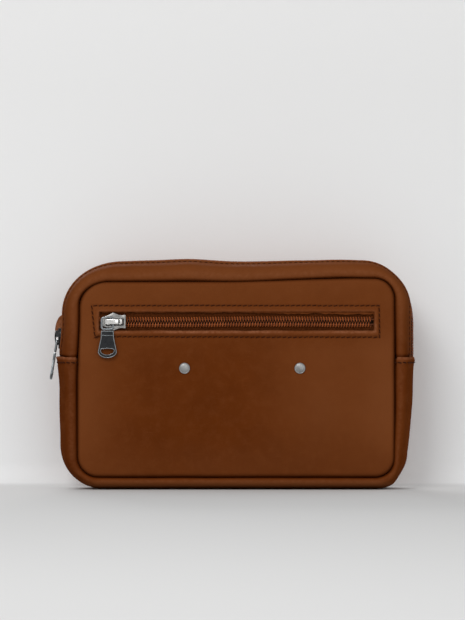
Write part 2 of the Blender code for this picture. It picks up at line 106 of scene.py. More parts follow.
def run(start, end, count):
    """Points from start to end, the end left out."""
    share = np.linspace(0, 1, count, endpoint=False)[:, None]
    return np.array(start) + (np.array(end) - np.array(start)) * share


def bend(centre_x, centre_z, radii, first, last):
    """A quarter ellipse between two angles in degrees, the end left out."""
    turn = np.radians(np.linspace(first, last, BEND_STATIONS, endpoint=False))
    return np.column_stack([centre_x + radii[0] * np.cos(turn), centre_z + radii[1] * np.sin(turn)])


def outline(left, right, bottom, top, radii, mouth=MOUTH_Z):
    """Upper path from the left mouth over the top to the right, and lower path on round to the left."""
    tl, tr, br, bl = radii
    upper = np.vstack([
        run((left, mouth), (left, top - tl[1]), UPPER_SIDE_STATIONS),
        bend(left + tl[0], top - tl[1], tl, 180, 90),
        run((left + tl[0], top), (right - tr[0], top), LENGTH_STATIONS),
        bend(right - tr[0], top - tr[1], tr, 90, 0),
        run((right, top - tr[1]), (right, mouth), UPPER_SIDE_STATIONS),
        [(right, mouth)],
    ])
    lower = np.vstack([
        run((right, mouth), (right, bottom + br[1]), LOWER_SIDE_STATIONS),
        bend(right - br[0], bottom + br[1], br, 0, -90),
        run((right - br[0], bottom), (left + bl[0], bottom), LENGTH_STATIONS),
        bend(left + bl[0], bottom + bl[1], bl, -90, -180),
        run((left, bottom + bl[1]), (left, mouth), LOWER_SIDE_STATIONS),
        [(left, mouth)],
    ])
    return upper, lower


def closed(paths):
    """Both paths as one loop, without the doubled mouth points."""
    return np.vstack([paths[0][:-1], paths[1][:-1]])


def step(value, start, end):
    """Smoothly from 0 at start to 1 at end."""
    t = np.clip((value - start) / (end - start), 0, 1)
    return t * t * (3 - 2 * t)


def hill(value, centre, width):
    """1 at the centre, falling smoothly to almost 0 two widths away."""
    return np.exp(-(((value - centre) / width) ** 2))


def seam_rise(x, z):
    """The top seam climbs to the right."""
    return SEAM_TOP_RISE * step(x, -0.02, 0.085) * step(z, 0.100, 0.132)


def seam_draw(x, z):
    """The left seam leans inwards above the mouth."""
    return SEAM_LEFT_LEAN * step(-x, 0.04, 0.10) * step(z, 0.070, 0.112)


def seam_paths(inset=0.0):
    """The line where the panels meet the gussets, its top rising a little to the right."""
    paths = outline(
        panel_low[0] + inset,
        panel_high[0] - inset,
        panel_low[2] + inset,
        panel_high[2] - SEAM_TOP_DROP - inset,
        [(rx - inset, rz - inset) for rx, rz in SEAM_RADII],
    )
    for path in paths:
        x, z = path[:, 0].copy(), path[:, 1].copy()
        path[:, 1] += seam_rise(x, z)
        path[:, 0] += seam_draw(x, z)
    return paths


def outer_paths(inset=0.0):
    """The outline of the whole pack, or a line the given distance inside it."""
    low = lower_low[0]
    high = upper_high[0]
    radii = [(rx - inset, rz - inset) for rx, rz in OUTER_RADII]
    upper = outline(upper_low[0] + inset, high - inset, inset, TOP - inset, radii)[0]
    lower = outline(low + inset, lower_high[0] - inset, inset, TOP - inset, radii)[1]
    return upper, lower


# Waves of the top edge: height in mm, x and width; the last one is in front of the zip only
TOP_EDGE_SINK = -0.4
TOP_EDGE_WAVES = ((1.1, -0.031, 0.018), (-0.55, 0.004, 0.020), (0.35, 0.068, 0.014), (-0.4, -0.074, 0.012))
FRONT_EDGE_WAVE = (-0.5, -0.020, 0.045)


def settle(points, rear=False):
    """The pack's own unevenness: a wavy top edge and sides that swell at the hem and draw in below it."""
    moved = np.array(points, float)
    x, z = points[..., 0], points[..., 2]
    waves = TOP_EDGE_WAVES if rear else TOP_EDGE_WAVES + (FRONT_EDGE_WAVE,)
    wave = TOP_EDGE_SINK + sum(height * hill(x, place, width) for height, place, width in waves)
    moved[..., 2] += MM * wave * step(z, 0.120, 0.143)
    right, left = step(x, 0.098, 0.110), step(-x, 0.098, 0.110)
    moved[..., 0] -= 0.0034 * right * np.clip((0.0634 - z) / 0.040, 0, 1) ** 1.7
    moved[..., 0] += 0.0010 * right * step(z, 0.076, 0.088)
    moved[..., 0] -= 0.0014 * left * hill(z, MOUTH_Z, 0.012) * (z > MOUTH_Z)
    moved[..., 0] += 0.0004 * left * hill(z, 0.030, 0.015)
    return moved


def ripple(points, height, length, seed):
    """Gentle unevenness of a surface, the same each time: waves in a few fixed directions."""
    draw = np.random.default_rng(seed)
    total = np.zeros(points.shape[:-1])
    waves = 9
    for _ in range(waves):
        direction = draw.normal(size=3)
        direction /= np.linalg.norm(direction)
        size = 2 * math.pi / (length * draw.uniform(0.6, 1.6))
        total += np.sin(points @ direction * size + draw.uniform(0, 2 * math.pi))
    return height * total / math.sqrt(waves)


def smooth_curve(points, count):
    """Points along a Catmull-Rom curve through the given ones."""
    given = np.array(points, float)
    padded = np.vstack([2 * given[0] - given[1], given, 2 * given[-1] - given[-2]])
    spans = len(given) - 1
    result = []
    for place in np.linspace(0, spans, count):
        i = min(int(place), spans - 1)
        t = place - i
        a, b, c, d = padded[i:i + 4]
        cubic = (3 * b - a - 3 * c + d) * t ** 3
        result.append(0.5 * (2 * b + (c - a) * t + (2 * a - 5 * b + 4 * c - d) * t ** 2 + cubic))
    return np.array(result)


def sweep(seam, outer, profile):
    """Grid of points: a row for each (share, y) of the profile, a column for each station."""
    share = profile[:, 0][:, None, None]
    flat = seam[None] + (outer - seam)[None] * share
    y = np.broadcast_to(profile[:, 1][:, None], flat.shape[:2])
    return np.stack([flat[..., 0], y, flat[..., 1]], axis=-1)


def away(line):
    """Unit directions square to a line of points and to y, pointing away from the pack's middle."""
    out = np.cross(np.gradient(line, axis=0), np.array([0, 1.0, 0]))
    out *= np.sign(np.sum(out * (line - PACK_MIDDLE), axis=1, keepdims=True))
    return out / np.linalg.norm(out, axis=1, keepdims=True)


def grid_normals(grid):
    """Unit normals of a grid, outwards where its rows run from seam to outline."""
    normal = np.cross(np.gradient(grid, axis=1), np.gradient(grid, axis=0))
    return normal / np.maximum(np.linalg.norm(normal, axis=-1, keepdims=True), 1e-12)


def mesh_object(name, points, faces, material, smooth=True):
    data = bpy.data.meshes.new(name)
    data.from_pydata([tuple(p) for p in points], [], faces)
    data.validate()
    if smooth:
        data.shade_smooth()
    data.materials.append(material)
    item = bpy.data.objects.new(name, data)
    bpy.context.scene.collection.objects.link(item)
    return item


def grid_faces(rows, columns, wrap=False, flip=False):
    """Quads between the rows of a grid; wrap joins its last column to its first."""
    faces = []
    last = columns if wrap else columns - 1
    for r in range(rows - 1):
        for c in range(last):
            d = (c + 1) % columns
            face = (r * columns + c, r * columns + d, (r + 1) * columns + d, (r + 1) * columns + c)
            faces.append(face[::-1] if flip else face)
    return faces


def top_painted_light(z):
    """Painted light: the leather is painted paler towards the top."""
    return 0.55 * step(z, 0.070, 0.142)


def paint(item, grid, marks):
    """Per-point values for the material: painted shade, wear with a painted highlight, and the broad painted
    light and painted shade of each place.
    """
    x, z = grid[..., 0], grid[..., 2]
    # Painted light a little everywhere, more towards the top and at the upper left; painted shade towards
    # the bottom.
    painted_light = 0.10 + top_painted_light(z) + 0.10 * step(-x, 0.02, 0.10) * step(z, 0.08, 0.12)
    for key, values in {"painted_light": painted_light, "tone_and_shade": 1 - step(z, 0.0, 0.055), **marks}.items():
        attribute = item.data.attributes.new(key, "FLOAT", "POINT")
        attribute.data.foreach_set("value", np.asarray(values, np.float32).reshape(-1))


def sheet_object(name, grid, material, thickness=0.0, wrap=False, flip=False, marks=None, capped=False):
    """A surface through a grid of points, thickened to its inner side; marks are per-point values.

    A capped sheet's last row is closed by one face.
    """
    rows, columns = grid.shape[:2]
    faces = grid_faces(rows, columns, wrap, flip)
    if capped:
        hole = tuple(range((rows - 1) * columns, rows * columns))
        faces.append(hole[::-1] if flip else hole)
    item = mesh_object(name, grid.reshape(-1, 3), faces, material)
    paint(item, grid, marks or {})
    if thickness:
        solid = item.modifiers.new("thickness", "SOLIDIFY")
        solid.thickness = thickness
        solid.offset = -1
    return item


def fit(item, nodes=(), body=None):
    """Hide the frame's nodes that a piece stands for, then hang the piece on a body, or with no body bake
    its place into its mesh.
    """
    if nodes:
        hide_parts(*nodes)
    if body:
        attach(item, body)
    else:
        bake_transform(item)


def joined(parts):
    """Points and faces of several meshes as one."""
    points, faces, base = [], [], 0
    for part_points, part_faces in parts:
        points.append(part_points)
        faces += [tuple(base + i for i in face) for face in part_faces]
        base += len(part_points)
    return np.vstack(points), faces


def tube(centres, radius, sides, up):
    """A tube along the centres; up is a rough direction at each centre that it never runs along."""
    forward = np.gradient(centres, axis=0)
    forward /= np.linalg.norm(forward, axis=1, keepdims=True)
    side = np.cross(forward, up)
    side /= np.maximum(np.linalg.norm(side, axis=1, keepdims=True), 1e-9)
    top = np.cross(side, forward)
    turn = np.linspace(0, 2 * math.pi, sides, endpoint=False)
    radius = np.broadcast_to(np.asarray(radius, float), (len(centres),))
    ring = side[:, None] * np.cos(turn)[None, :, None] + top[:, None] * np.sin(turn)[None, :, None]
    grid = centres[:, None] + ring * radius[:, None, None]
    faces = grid_faces(len(centres), sides, wrap=True)
    count = len(centres) * sides
    faces.append(tuple(range(sides))[::-1])
    faces.append(tuple(range(count - sides, count)))
    return grid.reshape(-1, 3), faces


def arc_lengths(points):
    """How far along a line each of its points is."""
    gaps = np.linalg.norm(np.diff(points, axis=0), axis=1)
    return np.concatenate([[0.0], np.cumsum(gaps)])


def sample(points, lengths, places):
    """The line at the given lengths along it."""
    return np.column_stack([np.interp(places, lengths, points[:, i]) for i in range(3)])


# ---------------------------------------------------------------- materials
def node(tree, kind, inputs=None, **settings):
    """A shader node; an input is linked if it is a socket and set if it is a value."""
    made = tree.nodes.new(kind)
    for key, value in settings.items():
        setattr(made, key, value)
    for key, value in (inputs or {}).items():
        if isinstance(value, bpy.types.NodeSocket):
            tree.links.new(value, made.inputs[key])
        else:
            made.inputs[key].default_value = value
    return made


def start_material(name, roughness, metallic=0.0, specular=0.5, ior=1.45):
    """A material with its tree, its shader and the coordinates its patterns use."""
    material = bpy.data.materials.new(name)
    material.use_nodes = True
    tree = material.node_tree
    shader = tree.nodes["Principled BSDF"]
    shader.inputs["Roughness"].default_value = roughness
    shader.inputs["Metallic"].default_value = metallic
    shader.inputs["Specular IOR Level"].default_value = specular
    shader.inputs["IOR"].default_value = ior
    place = node(tree, "ShaderNodeTexCoord").outputs["Object"]
    return material, tree, shader, place


def noise(tree, place, scale, detail=3.0, roughness=0.55):
    return node(tree, "ShaderNodeTexNoise", {
        "Vector": place, "Scale": scale, "Detail": detail, "Roughness": roughness,
    }).outputs["Fac"]


def ramp(tree, value, low, high, to_low=0.0, to_high=1.0):
    """The value from low to high brought to run from to_low to to_high, and held there outside."""
    return node(tree, "ShaderNodeMapRange", {
        "Value": value, "From Min": low, "From Max": high, "To Min": to_low, "To Max": to_high,
    }).outputs["Result"]


def patches(tree, place, scale, edges, values=(0.0, 1.0), detail=3.0, roughness=0.55):
    """Noise spread so that what lies between the edges runs from the first value to the second."""
    return ramp(tree, noise(tree, place, scale, detail, roughness), *edges, *values)


def blend_colour(tree, share, first, second):
    return node(tree, "ShaderNodeMix", {0: share, 6: first, 7: second}, data_type="RGBA").outputs[2]


def math_node(tree, operation, first, second=0.0):
    return node(tree, "ShaderNodeMath", {0: first, 1: second}, operation=operation).outputs[0]


def multiply(tree, first, second):
    return math_node(tree, "MULTIPLY", first, second)


def bump(tree, shader, heights):
    """Chains bumps of (height socket, distance in metres, strength) into the shader's normal."""
    normal = None
    for height, distance, strength in heights:
        inputs = {"Height": height, "Distance": distance, "Strength": strength}
        if normal is not None:
            inputs["Normal"] = normal
        normal = node(tree, "ShaderNodeBump", inputs).outputs["Normal"]
    tree.links.new(normal, shader.inputs["Normal"])


def rgb(red, green, blue):
    """A screen colour from 0 to 255 as the linear one that shaders take."""
    channels = []
    for value in (red, green, blue):
        share = value / 255
        channels.append(share / 12.92 if share <= 0.04045 else ((share + 0.055) / 1.055) ** 2.4)
    return (*channels, 1.0)


def attribute(tree, name):
    return node(tree, "ShaderNodeAttribute", attribute_name=name).outputs["Fac"]


# What the per-point values do: painted shade darkens seam grooves, thread lines and the places under lips
# and hems;
# wear with a painted highlight pales edges; painted light and shade lighten and darken wide areas; painted
# shade darkens a chain's hidden turns.
def leather_material(name, base, dark, light, roughness=0.52):
    """Waxed full-grain leather: soft clouds of tone, fine pores, faint scratches, worn edges with a painted
    highlight, and painted light and shade.
    """
    material, tree, shader, place = start_material(name, roughness, specular=0.15, ior=LEATHER_IOR)
    clouds = patches(tree, place, 34.0, (0.36, 0.66), (0.0, 0.44), 4.0)
    # Painted shade, over random clouds of darker tone.
    tone_and_shade = math_node(tree, "ADD", clouds, multiply(tree, attribute(tree, "tone_and_shade"), 0.35))
    colour = blend_colour(tree, tone_and_shade, base, dark)
    # Painted light, broken up a little by patches.
    painted_light = multiply(tree, attribute(tree, "painted_light"), patches(tree, place, 16.0, (0.3, 0.7), (0.75, 1.15)))
    colour = blend_colour(tree, painted_light, colour, light)
    mottle = patches(tree, place, 150.0, (0.46, 0.70), (0.0, 0.24), 5.0, 0.65)
    colour = blend_colour(tree, mottle, colour, light)
    stretched = node(tree, "ShaderNodeMapping", {
        "Vector": place, "Scale": (90.0, 90.0, 900.0), "Rotation": (0.2, 0.5, 0.35),
    }).outputs["Vector"]
    scratch = patches(tree, stretched, 1.6, (0.69, 0.76), (0.0, 0.22), 1.0)
    colour = blend_colour(tree, scratch, colour, light)
    # Painted shade in grooves and under lips and hems.
    colour = blend_colour(tree, attribute(tree, "painted_shade"), colour, dark)
    # Wear with a painted highlight on edges.
    wear_and_highlight_share = multiply(tree, attribute(tree, "wear_and_highlight"), patches(tree, place, 420.0, (0.35, 0.65), (0.35, 1.0)))
    colour = blend_colour(tree, wear_and_highlight_share, colour, WEAR_AND_HIGHLIGHT_LEATHER)
    tree.links.new(colour, shader.inputs["Base Color"])
    gloss = patches(tree, place, 95.0, (0.3, 0.7), (roughness - 0.05, roughness + 0.10))
    tree.links.new(gloss, shader.inputs["Roughness"])
    pores = node(tree, "ShaderNodeTexVoronoi", {"Vector": place, "Scale": 1150.0, "Randomness": 1.0})
    creases = node(tree, "ShaderNodeTexVoronoi", {
        "Vector": place, "Scale": 620.0, "Randomness": 0.9,
    }, feature="DISTANCE_TO_EDGE")
    bump(tree, shader, [
        (noise(tree, place, 70.0, 3.0), 0.0005, 0.25),
        (creases.outputs["Distance"], 0.00008, 0.3),
        (pores.outputs["Distance"], 0.00006, 0.3),
        (noise(tree, place, 3200.0, 2.0), 0.00003, 0.3),
    ])
    return material


def cloth_material(name, base, dark, light, thread, roughness=0.85):
    """Plain woven cloth: two crossed sets of threads of the given width."""
    material, tree, shader, place = start_material(name, roughness, specular=0.2, ior=1.08)
    shader.inputs["Sheen Weight"].default_value = 0.05
    size = math.pi / thread
    apart = node(tree, "ShaderNodeSeparateXYZ", {"Vector": place})
    across = math_node(tree, "ADD", apart.outputs["X"], apart.outputs["Y"])
    warp = math_node(tree, "SINE", multiply(tree, across, size))
    weft = math_node(tree, "SINE", multiply(tree, apart.outputs["Z"], size))
    weave = math_node(tree, "ABSOLUTE", multiply(tree, warp, weft))
    tone = blend_colour(tree, ramp(tree, weave, 0.0, 1.0), dark, base)
    fuzz = patches(tree, place, 900.0, (0.4, 0.75), (0.0, 0.4))
    tree.links.new(blend_colour(tree, fuzz, tone, light), shader.inputs["Base Color"])
    bump(tree, shader, [(weave, 0.00012, 0.7), (noise(tree, place, 2600.0), 0.00005, 0.4)])
    return material


def nylon_material(name, base, dark, light):
    """Dyed nylon monofilament: slightly glossy, its tone changing a little from turn to turn, darkened by
    painted shade where a per-point value says.
    """
    material, tree, shader, place = start_material(name, 0.38, specular=0.22)
    tone = blend_colour(tree, patches(tree, place, 380.0, (0.35, 0.65)), base, dark)
    shine = patches(tree, place, 1500.0, (0.55, 0.8), (0.0, 0.35))
    clean = blend_colour(tree, shine, tone, light)
    # Painted shade on the turns, gaps and cord that lie in shadow.
    shaded = blend_colour(tree, attribute(tree, "coil_shade"), clean, CHAIN_SHADE)
    tree.links.new(shaded, shader.inputs["Base Color"])
    gloss = patches(tree, place, 700.0, (0.3, 0.7), (0.3, 0.5))
    tree.links.new(gloss, shader.inputs["Roughness"])
    bump(tree, shader, [(noise(tree, place, 2400.0), 0.00004, 0.35)])
    return material


def metal_material(name, base, dark, roughness, brush=(1.0, 1.0, 1.0)):
    """Plated metal: fine tumbling marks, tarnish in patches and tiny dents."""
    material, tree, shader, place = start_material(name, roughness, metallic=1.0)
    tarnish = patches(tree, place, 260.0, (0.42, 0.75), (0.0, 0.55), 4.0)
    tree.links.new(blend_colour(tree, tarnish, base, dark), shader.inputs["Base Color"])
    drawn = node(tree, "ShaderNodeMapping", {"Vector": place, "Scale": brush}).outputs["Vector"]
    marks = noise(tree, drawn, 2200.0, 3.0)
    gloss = ramp(tree, marks, 0.3, 0.7, roughness * 0.75, roughness * 1.5)
    tree.links.new(gloss, shader.inputs["Roughness"])
    bump(tree, shader, [(marks, 0.00003, 0.3), (noise(tree, place, 500.0), 0.00003, 0.15)])
    return material


LEATHER_IOR = 1.03                    # waxed face: hardly any gloss, even at a low angle
LEATHER_BASE, LEATHER_DARK, LEATHER_LIGHT = rgb(98, 46, 13), rgb(78, 32, 5), rgb(118, 66, 34)
# Pale colour of worn edges, which also carries their painted highlights.
WEAR_AND_HIGHLIGHT_LEATHER = rgb(176, 118, 86)
front_leather = leather_material("front_leather", LEATHER_BASE, LEATHER_DARK, LEATHER_LIGHT, 0.58)
gusset_leather = leather_material("gusset_leather", LEATHER_BASE, LEATHER_DARK, rgb(120, 68, 36), 0.58)
tape_cloth = cloth_material("tape_cloth", rgb(88, 42, 15), rgb(56, 24, 6), rgb(112, 60, 28), 0.00042)
lining_cloth = cloth_material("lining_cloth", rgb(92, 66, 46), rgb(56, 38, 26), rgb(116, 88, 64), 0.0005)
# Colour of the painted shade on the chains.
CHAIN_SHADE = rgb(30, 11, 3)
coil_nylon = nylon_material("coil_nylon", rgb(204, 110, 54), rgb(158, 80, 33), rgb(232, 156, 98))
thread_fibre = cloth_material("thread_fibre", rgb(74, 31, 9), rgb(46, 17, 4), rgb(94, 44, 17), 0.00012, 0.7)
hole_shade = leather_material("needle_holes", rgb(34, 12, 3), rgb(18, 6, 1), rgb(46, 18, 6))
nickel = metal_material("nickel", rgb(176, 175, 172), rgb(98, 97, 95), 0.26)
bright_nickel = metal_material("bright_nickel", rgb(244, 243, 240), rgb(190, 189, 186), 0.20)
pewter = metal_material("pewter", rgb(158, 158, 157), rgb(104, 104, 104), 0.40)
# Dark metal: the main slider's darker finish and the sliders' locks, and also painted shade round the
# bridges' feet and in their notches.
tarnish_and_shade = metal_material("tarnish_and_shade", rgb(74, 74, 75), rgb(40, 40, 41), 0.34)
gunmetal = metal_material("gunmetal", rgb(54, 55, 57), rgb(34, 35, 38), 0.36, (1.0, 1.0, 0.2))
worn_rim = metal_material("worn_rim", rgb(142, 147, 150), rgb(84, 88, 92), 0.26)
board_fibre = leather_material("board_fibre", rgb(128, 104, 76), rgb(96, 74, 50), rgb(158, 134, 102))
for stiffener in ("back_stiffener", "base_stiffener"):
    frame["nodes"][stiffener].data.materials[0] = board_fibre
for washer in ("rivet_washer_left", "rivet_washer_right"):
    frame["nodes"][washer].data.materials[0] = nickel

# ---------------------------------------------------------------- leather body
FRONT_ROLL = [                        # share and y in mm, from deep in the seam groove outwards
    (-0.10, -18.9), (-0.03, -20.3), (0.005, -23.0), (0.06, -24.9), (0.16, -25.7), (0.32, -25.9),
    (0.50, -25.3), (0.64, -23.6), (0.74, -20.4),
]
ZIP_EDGE = [(0.80, -16.2), (0.845, -12.4), (0.885, -9.6), (0.945, -7.4), (0.985, -6.2), (0.965, -5.8)]
BASE_FLAT = [(0.84, -17.2), (0.93, -13.6), (0.98, -9.8), (1.0, -5.0), (1.0, 0.0)]
ZIP_SIDE_INSET = 0.0008               # how far the leather stays inside the chain on the right
ROLL_ROWS = 46
THREAD_LINE_Y = -0.0098               # the seam thread along the zip edge
THREAD_GROOVE = 0.00025
HEM_HEIGHT = 0.0013
HEM_STITCH_DROP = 0.0034
BUMP_FOOT, BUMP_LENGTH, BUMP_HEIGHT = 0.1012, 0.0102, 0.0048     # the rear strip bulges above the slider
TUCK = 0.004                          # how far the zip strips reach down behind the hem


def right_side(path):
    """How far each (x, z) of a path belongs to the right side, where the chain shows."""
    return step(path[:, 0], 0.085, 0.108) * (1 - step(path[:, 1], 0.104, 0.123))


def profile(points, rows, mirrored=False):
    """A smooth profile through points in share and mm, for sweep; mirrored gives the rear one."""
    curve = smooth_curve([(share, y * MM) for share, y in points], rows)
    if mirrored:
        curve = curve[::-1] * np.array([1, -1])
    return curve


def gusset_light_and_shade(grid):
    """Painted light and shade on the gussets: painted light a little everywhere, more towards the top and
    under the base's roll; painted shade on the left.
    """
    x, z = grid[..., 0], grid[..., 2]
    painted_light = 0.10 + top_painted_light(z) + 1.1 * (1 - step(z, 0.0015, 0.0075))
    return {"painted_light": painted_light, "tone_and_shade": 1.5 * step(-x, 0.094, 0.104) * (1 - step(z, 0.118, 0.134))}


def slider_bump(grid):
    """The rear strip's bulge over the main slider: a quarter ellipse, rounded off towards front and back."""
    y, z = np.abs(grid[..., 1]), grid[..., 2]
    height = np.clip((z - BUMP_FOOT) / BUMP_LENGTH, 0, 1)
    side = step(-grid[..., 0], 0.080, 0.100)
    beside_slider = np.sqrt(1 - height ** 2) * step(z, BUMP_FOOT - 0.0035, BUMP_FOOT) * side
    swell = step(y, 0.0056, 0.0072) * (1 - step(y, 0.0085, 0.0170))
    return BUMP_HEIGHT * beside_slider * swell


def strip_marks(grid, curve):
    """Painted shade in the seam groove, along the thread and under the hem; wear with a painted highlight on
    the turned-in edge, and a painted highlight along the roll.
    """
    y, z = np.abs(grid[..., 1]), grid[..., 2]
    share = np.broadcast_to(np.abs(curve[:, 0])[:, None], y.shape)
    # Painted shade in the seam groove and along the thread's pressed line.
    painted_shade = 0.75 * (1 - step(share, 0.0, 0.16)) + 0.25 * hill(y, -THREAD_LINE_Y, 0.0008)
    # Painted shade where the strip tucks under the hem.
    painted_shade += 1.5 * hill(z, MOUTH_Z + 0.0003, 0.0012)
    # Wear with a painted highlight on the turned-in edge; a painted highlight along the crown of the roll.
    wear_and_highlight = 0.55 * hill(y, 0.0064, 0.0009) * (share > 0.9) + 0.10 * hill(share, 0.3, 0.15)
    return {"painted_shade": painted_shade, "wear_and_highlight": wear_and_highlight, **gusset_light_and_shade(grid)}


def upper_gusset(name, mirrored):
    """One strip beside the main zip, its edge turned in and pressed down along the thread."""
    curve = profile(FRONT_ROLL + ZIP_EDGE, ROLL_ROWS, mirrored)
    seam, outer, inner = seam_paths()[0], outer_paths()[0], outer_paths(ZIP_SIDE_INSET)[0]
    outer = outer + (inner - outer) * right_side(outer)[:, None]
    grid = sweep(seam, outer, curve)
    normal = grid_normals(grid)
    y = np.abs(grid[..., 1])
    press = -THREAD_GROOVE * hill(y, -THREAD_LINE_Y, 0.0007)
    lift = press + ripple(grid, 0.00016, 0.034, 11 if mirrored else 12)
    lift += 0.00018 * hill(y, 0.0078, 0.0011)
    lift -= 0.0005 * hill(grid[..., 2], MOUTH_Z + 0.0002, 0.0010)
    grid = grid + normal * lift[..., None]
    if mirrored:
        grid[..., 0] -= slider_bump(grid)
    foot = grid[:, :1] - (0, 0, TUCK)
    end = grid[:, -1:] - (0, 0, TUCK)
    grid = np.concatenate([foot, grid, end], axis=1)
    grid = settle(grid, rear=mirrored)
    return sheet_object(name, grid, gusset_leather, LEATHER, marks=strip_marks(grid, curve))


def lower_gusset():
    """The strip round the base, with a folded hem at each end that laps over the zip strips."""
    front = profile(FRONT_ROLL + BASE_FLAT, ROLL_ROWS)
    back = profile(FRONT_ROLL + BASE_FLAT, ROLL_ROWS, mirrored=True)[1:]
    curve = np.vstack([front, back])
    seam, outer = seam_paths()[1], outer_paths()[1]
    grid = sweep(seam, outer, curve)
    normal = grid_normals(grid)
    z = grid[..., 2]
    drop = MOUTH_Z - z
    share = np.broadcast_to(curve[:, 0][:, None], drop.shape)
    hem = HEM_HEIGHT * (1 - step(drop, 0.002, 0.021)) * step(share, 0.03, 0.16)
    hem *= 1 - 0.55 * step(grid[..., 0], 0.0, 0.05) * step(share, 0.5, 0.9)
    hem += 0.0004 * (1 - step(drop, 0.0005, 0.006)) * step(share, 0.0, 0.06)
    hem -= 0.0009 * np.clip(1 - drop / 0.0012, 0, 1) ** 2
    hem -= THREAD_GROOVE * hill(drop, HEM_STITCH_DROP, 0.0007)
    lift = hem + ripple(grid, 0.0002, 0.040, 13) * step(z, 0.0, 0.02)
    grid = grid + normal * lift[..., None]
    grid[..., 2] = np.maximum(grid[..., 2], 0.0)
    grid = settle(grid)
    # Painted shade in the seam groove and along the hem's thread; wear with a painted highlight on the hem's
    # top edge, and a painted highlight along the crown of the roll.
    painted_shade = 0.75 * (1 - step(np.abs(share), 0.0, 0.16)) + 0.4 * hill(drop, HEM_STITCH_DROP, 0.0008)
    wear_and_highlight = 0.7 * hill(drop, 0.0004, 0.0006) + 0.10 * hill(share, 0.3, 0.15)
    marks = {"painted_shade": painted_shade, "wear_and_highlight": wear_and_highlight, **gusset_light_and_shade(grid)}
    return sheet_object("lower_gusset_leather", grid, gusset_leather, LEATHER, marks=marks)


# Pocket window and the frame of thread round it
WINDOW = (-0.0868, 0.0878, 0.1016, 0.1130)        # left, right, bottom, top
# Corners of the thread frame: bottom left, bottom right, top right, top left
FRAME_CORNERS = ((-0.0899, 0.0976), (0.0915, 0.0973), (0.0912, 0.1174), (-0.0920, 0.1174))
PANEL_ROWS = 84


def inside_depth(x, z):
    """How far a point of the panel is from its seam, positive inside."""
    x, z = x - seam_draw(x, z), z - seam_rise(x, z)
    tl, tr, br, bl = [(rx + rz) / 2 for rx, rz in SEAM_RADII]
    right, upper = x > 0, z > (panel_low[2] + panel_high[2]) / 2
    radius = np.where(right, np.where(upper, tr, br), np.where(upper, tl, bl))
    top = panel_high[2] - SEAM_TOP_DROP
    half_x, half_z = (panel_high[0] - panel_low[0]) / 2, (top - panel_low[2]) / 2
    qx = np.abs(x - (panel_low[0] + panel_high[0]) / 2) - half_x + radius
    qz = np.abs(z - (panel_low[2] + top) / 2) - half_z + radius
    outside = np.hypot(np.maximum(qx, 0), np.maximum(qz, 0)) + np.minimum(np.maximum(qx, qz), 0)
    return radius - outside


def box_distance(x, z, box):
    """Signed distance to an upright rectangle, negative inside."""
    left, right, bottom, top = box
    dx = np.abs(x - (left + right) / 2) - (right - left) / 2
    dz = np.abs(z - (bottom + top) / 2) - (top - bottom) / 2
    return np.hypot(np.maximum(dx, 0), np.maximum(dz, 0)) + np.minimum(np.maximum(dx, dz), 0)


def frame_distance(x, z):
    """Signed distance to the thread frame, negative inside."""
    inside = np.full(np.shape(x), -1.0)
    for (ax, az), (bx, bz) in zip(FRAME_CORNERS, FRAME_CORNERS[1:] + FRAME_CORNERS[:1]):
        length = math.hypot(bx - ax, bz - az)
        outward = ((x - ax) * (bz - az) - (z - az) * (bx - ax)) / length
        inside = np.maximum(inside, outward)
    return inside


EDGE_RADIUS = 0.0034                  # of the panels' rolled edges
EDGE_STRETCH = 1.15                   # how much deeper than round the roll is
PANEL_INSET = 0.0003                  # the panels stop this far inside the seam


def edge_roll(depth):
    """How far a panel's face has turned back at the given distance from its seam."""
    near = np.clip(EDGE_RADIUS - depth, 0, EDGE_RADIUS)
    return (EDGE_RADIUS - np.sqrt(np.maximum(EDGE_RADIUS ** 2 - near ** 2, 0))) * EDGE_STRETCH


def padding(depth, height, reach):
    """How far a panel swells away from its seam."""
    return height * (1 - np.exp(-np.maximum(depth, 0) / reach))


def panel_depth(x, z):
    """y of the front panel: rolled at its seam, a little domed, raised round the window."""
    depth = inside_depth(x, z)
    y = FRONT_Y + edge_roll(depth)
    y -= padding(depth, 0.0011, 0.016)
    y -= 0.0009 * hill(x, 0.012, 0.070) * hill(z, 0.050, 0.036)
    frame = frame_distance(x, z)
    window = box_distance(x, z, WINDOW)
    puff = step(window, -0.0002, 0.0016) * step(-frame, 0.0, 0.0012)
    lower_lip = 1 - step(z, 0.104, 0.108)
    y -= (0.00035 + 0.00040 * lower_lip) * puff
    y += 0.0002 * hill(frame, 0.0, 0.0007)
    y += 0.0009 * np.clip(1 - window / 0.0009, 0, 1) ** 2
    return y


def window_loop():
    """The window's edge, cut slightly unevenly and lower towards the right of its top."""
    left, right, bottom, top = WINDOW
    radii = ((0.0008, 0.0008),) * 4
    loop = closed(outline(left, right, bottom, top, radii, (bottom + top) / 2))
    x, z = loop[:, 0], loop[:, 1]
    wobble = ripple(np.stack([x, 0 * x, z], axis=-1), 0.00016, 0.012, 21)
    wobble += ripple(np.stack([x, 0 * x, z], axis=-1), 0.00022, 0.0030, 22) * (z > (bottom + top) / 2)
    loop[:, 1] += wobble * step(np.abs(z - (bottom + top) / 2), 0.003, 0.005)
    loop[:, 1] -= 0.0011 * step(x, -0.03, 0.088) * step(z, 0.109, 0.111)
    return loop


def on_panel(x, z):
    """Points of the front panel's face at the given places."""
    points = np.stack([x, panel_depth(x, z), z], axis=-1)
    points[..., 1] += ripple(points, 0.00022, 0.045, 31) + ripple(points, 0.00006, 0.011, 32)
    return points


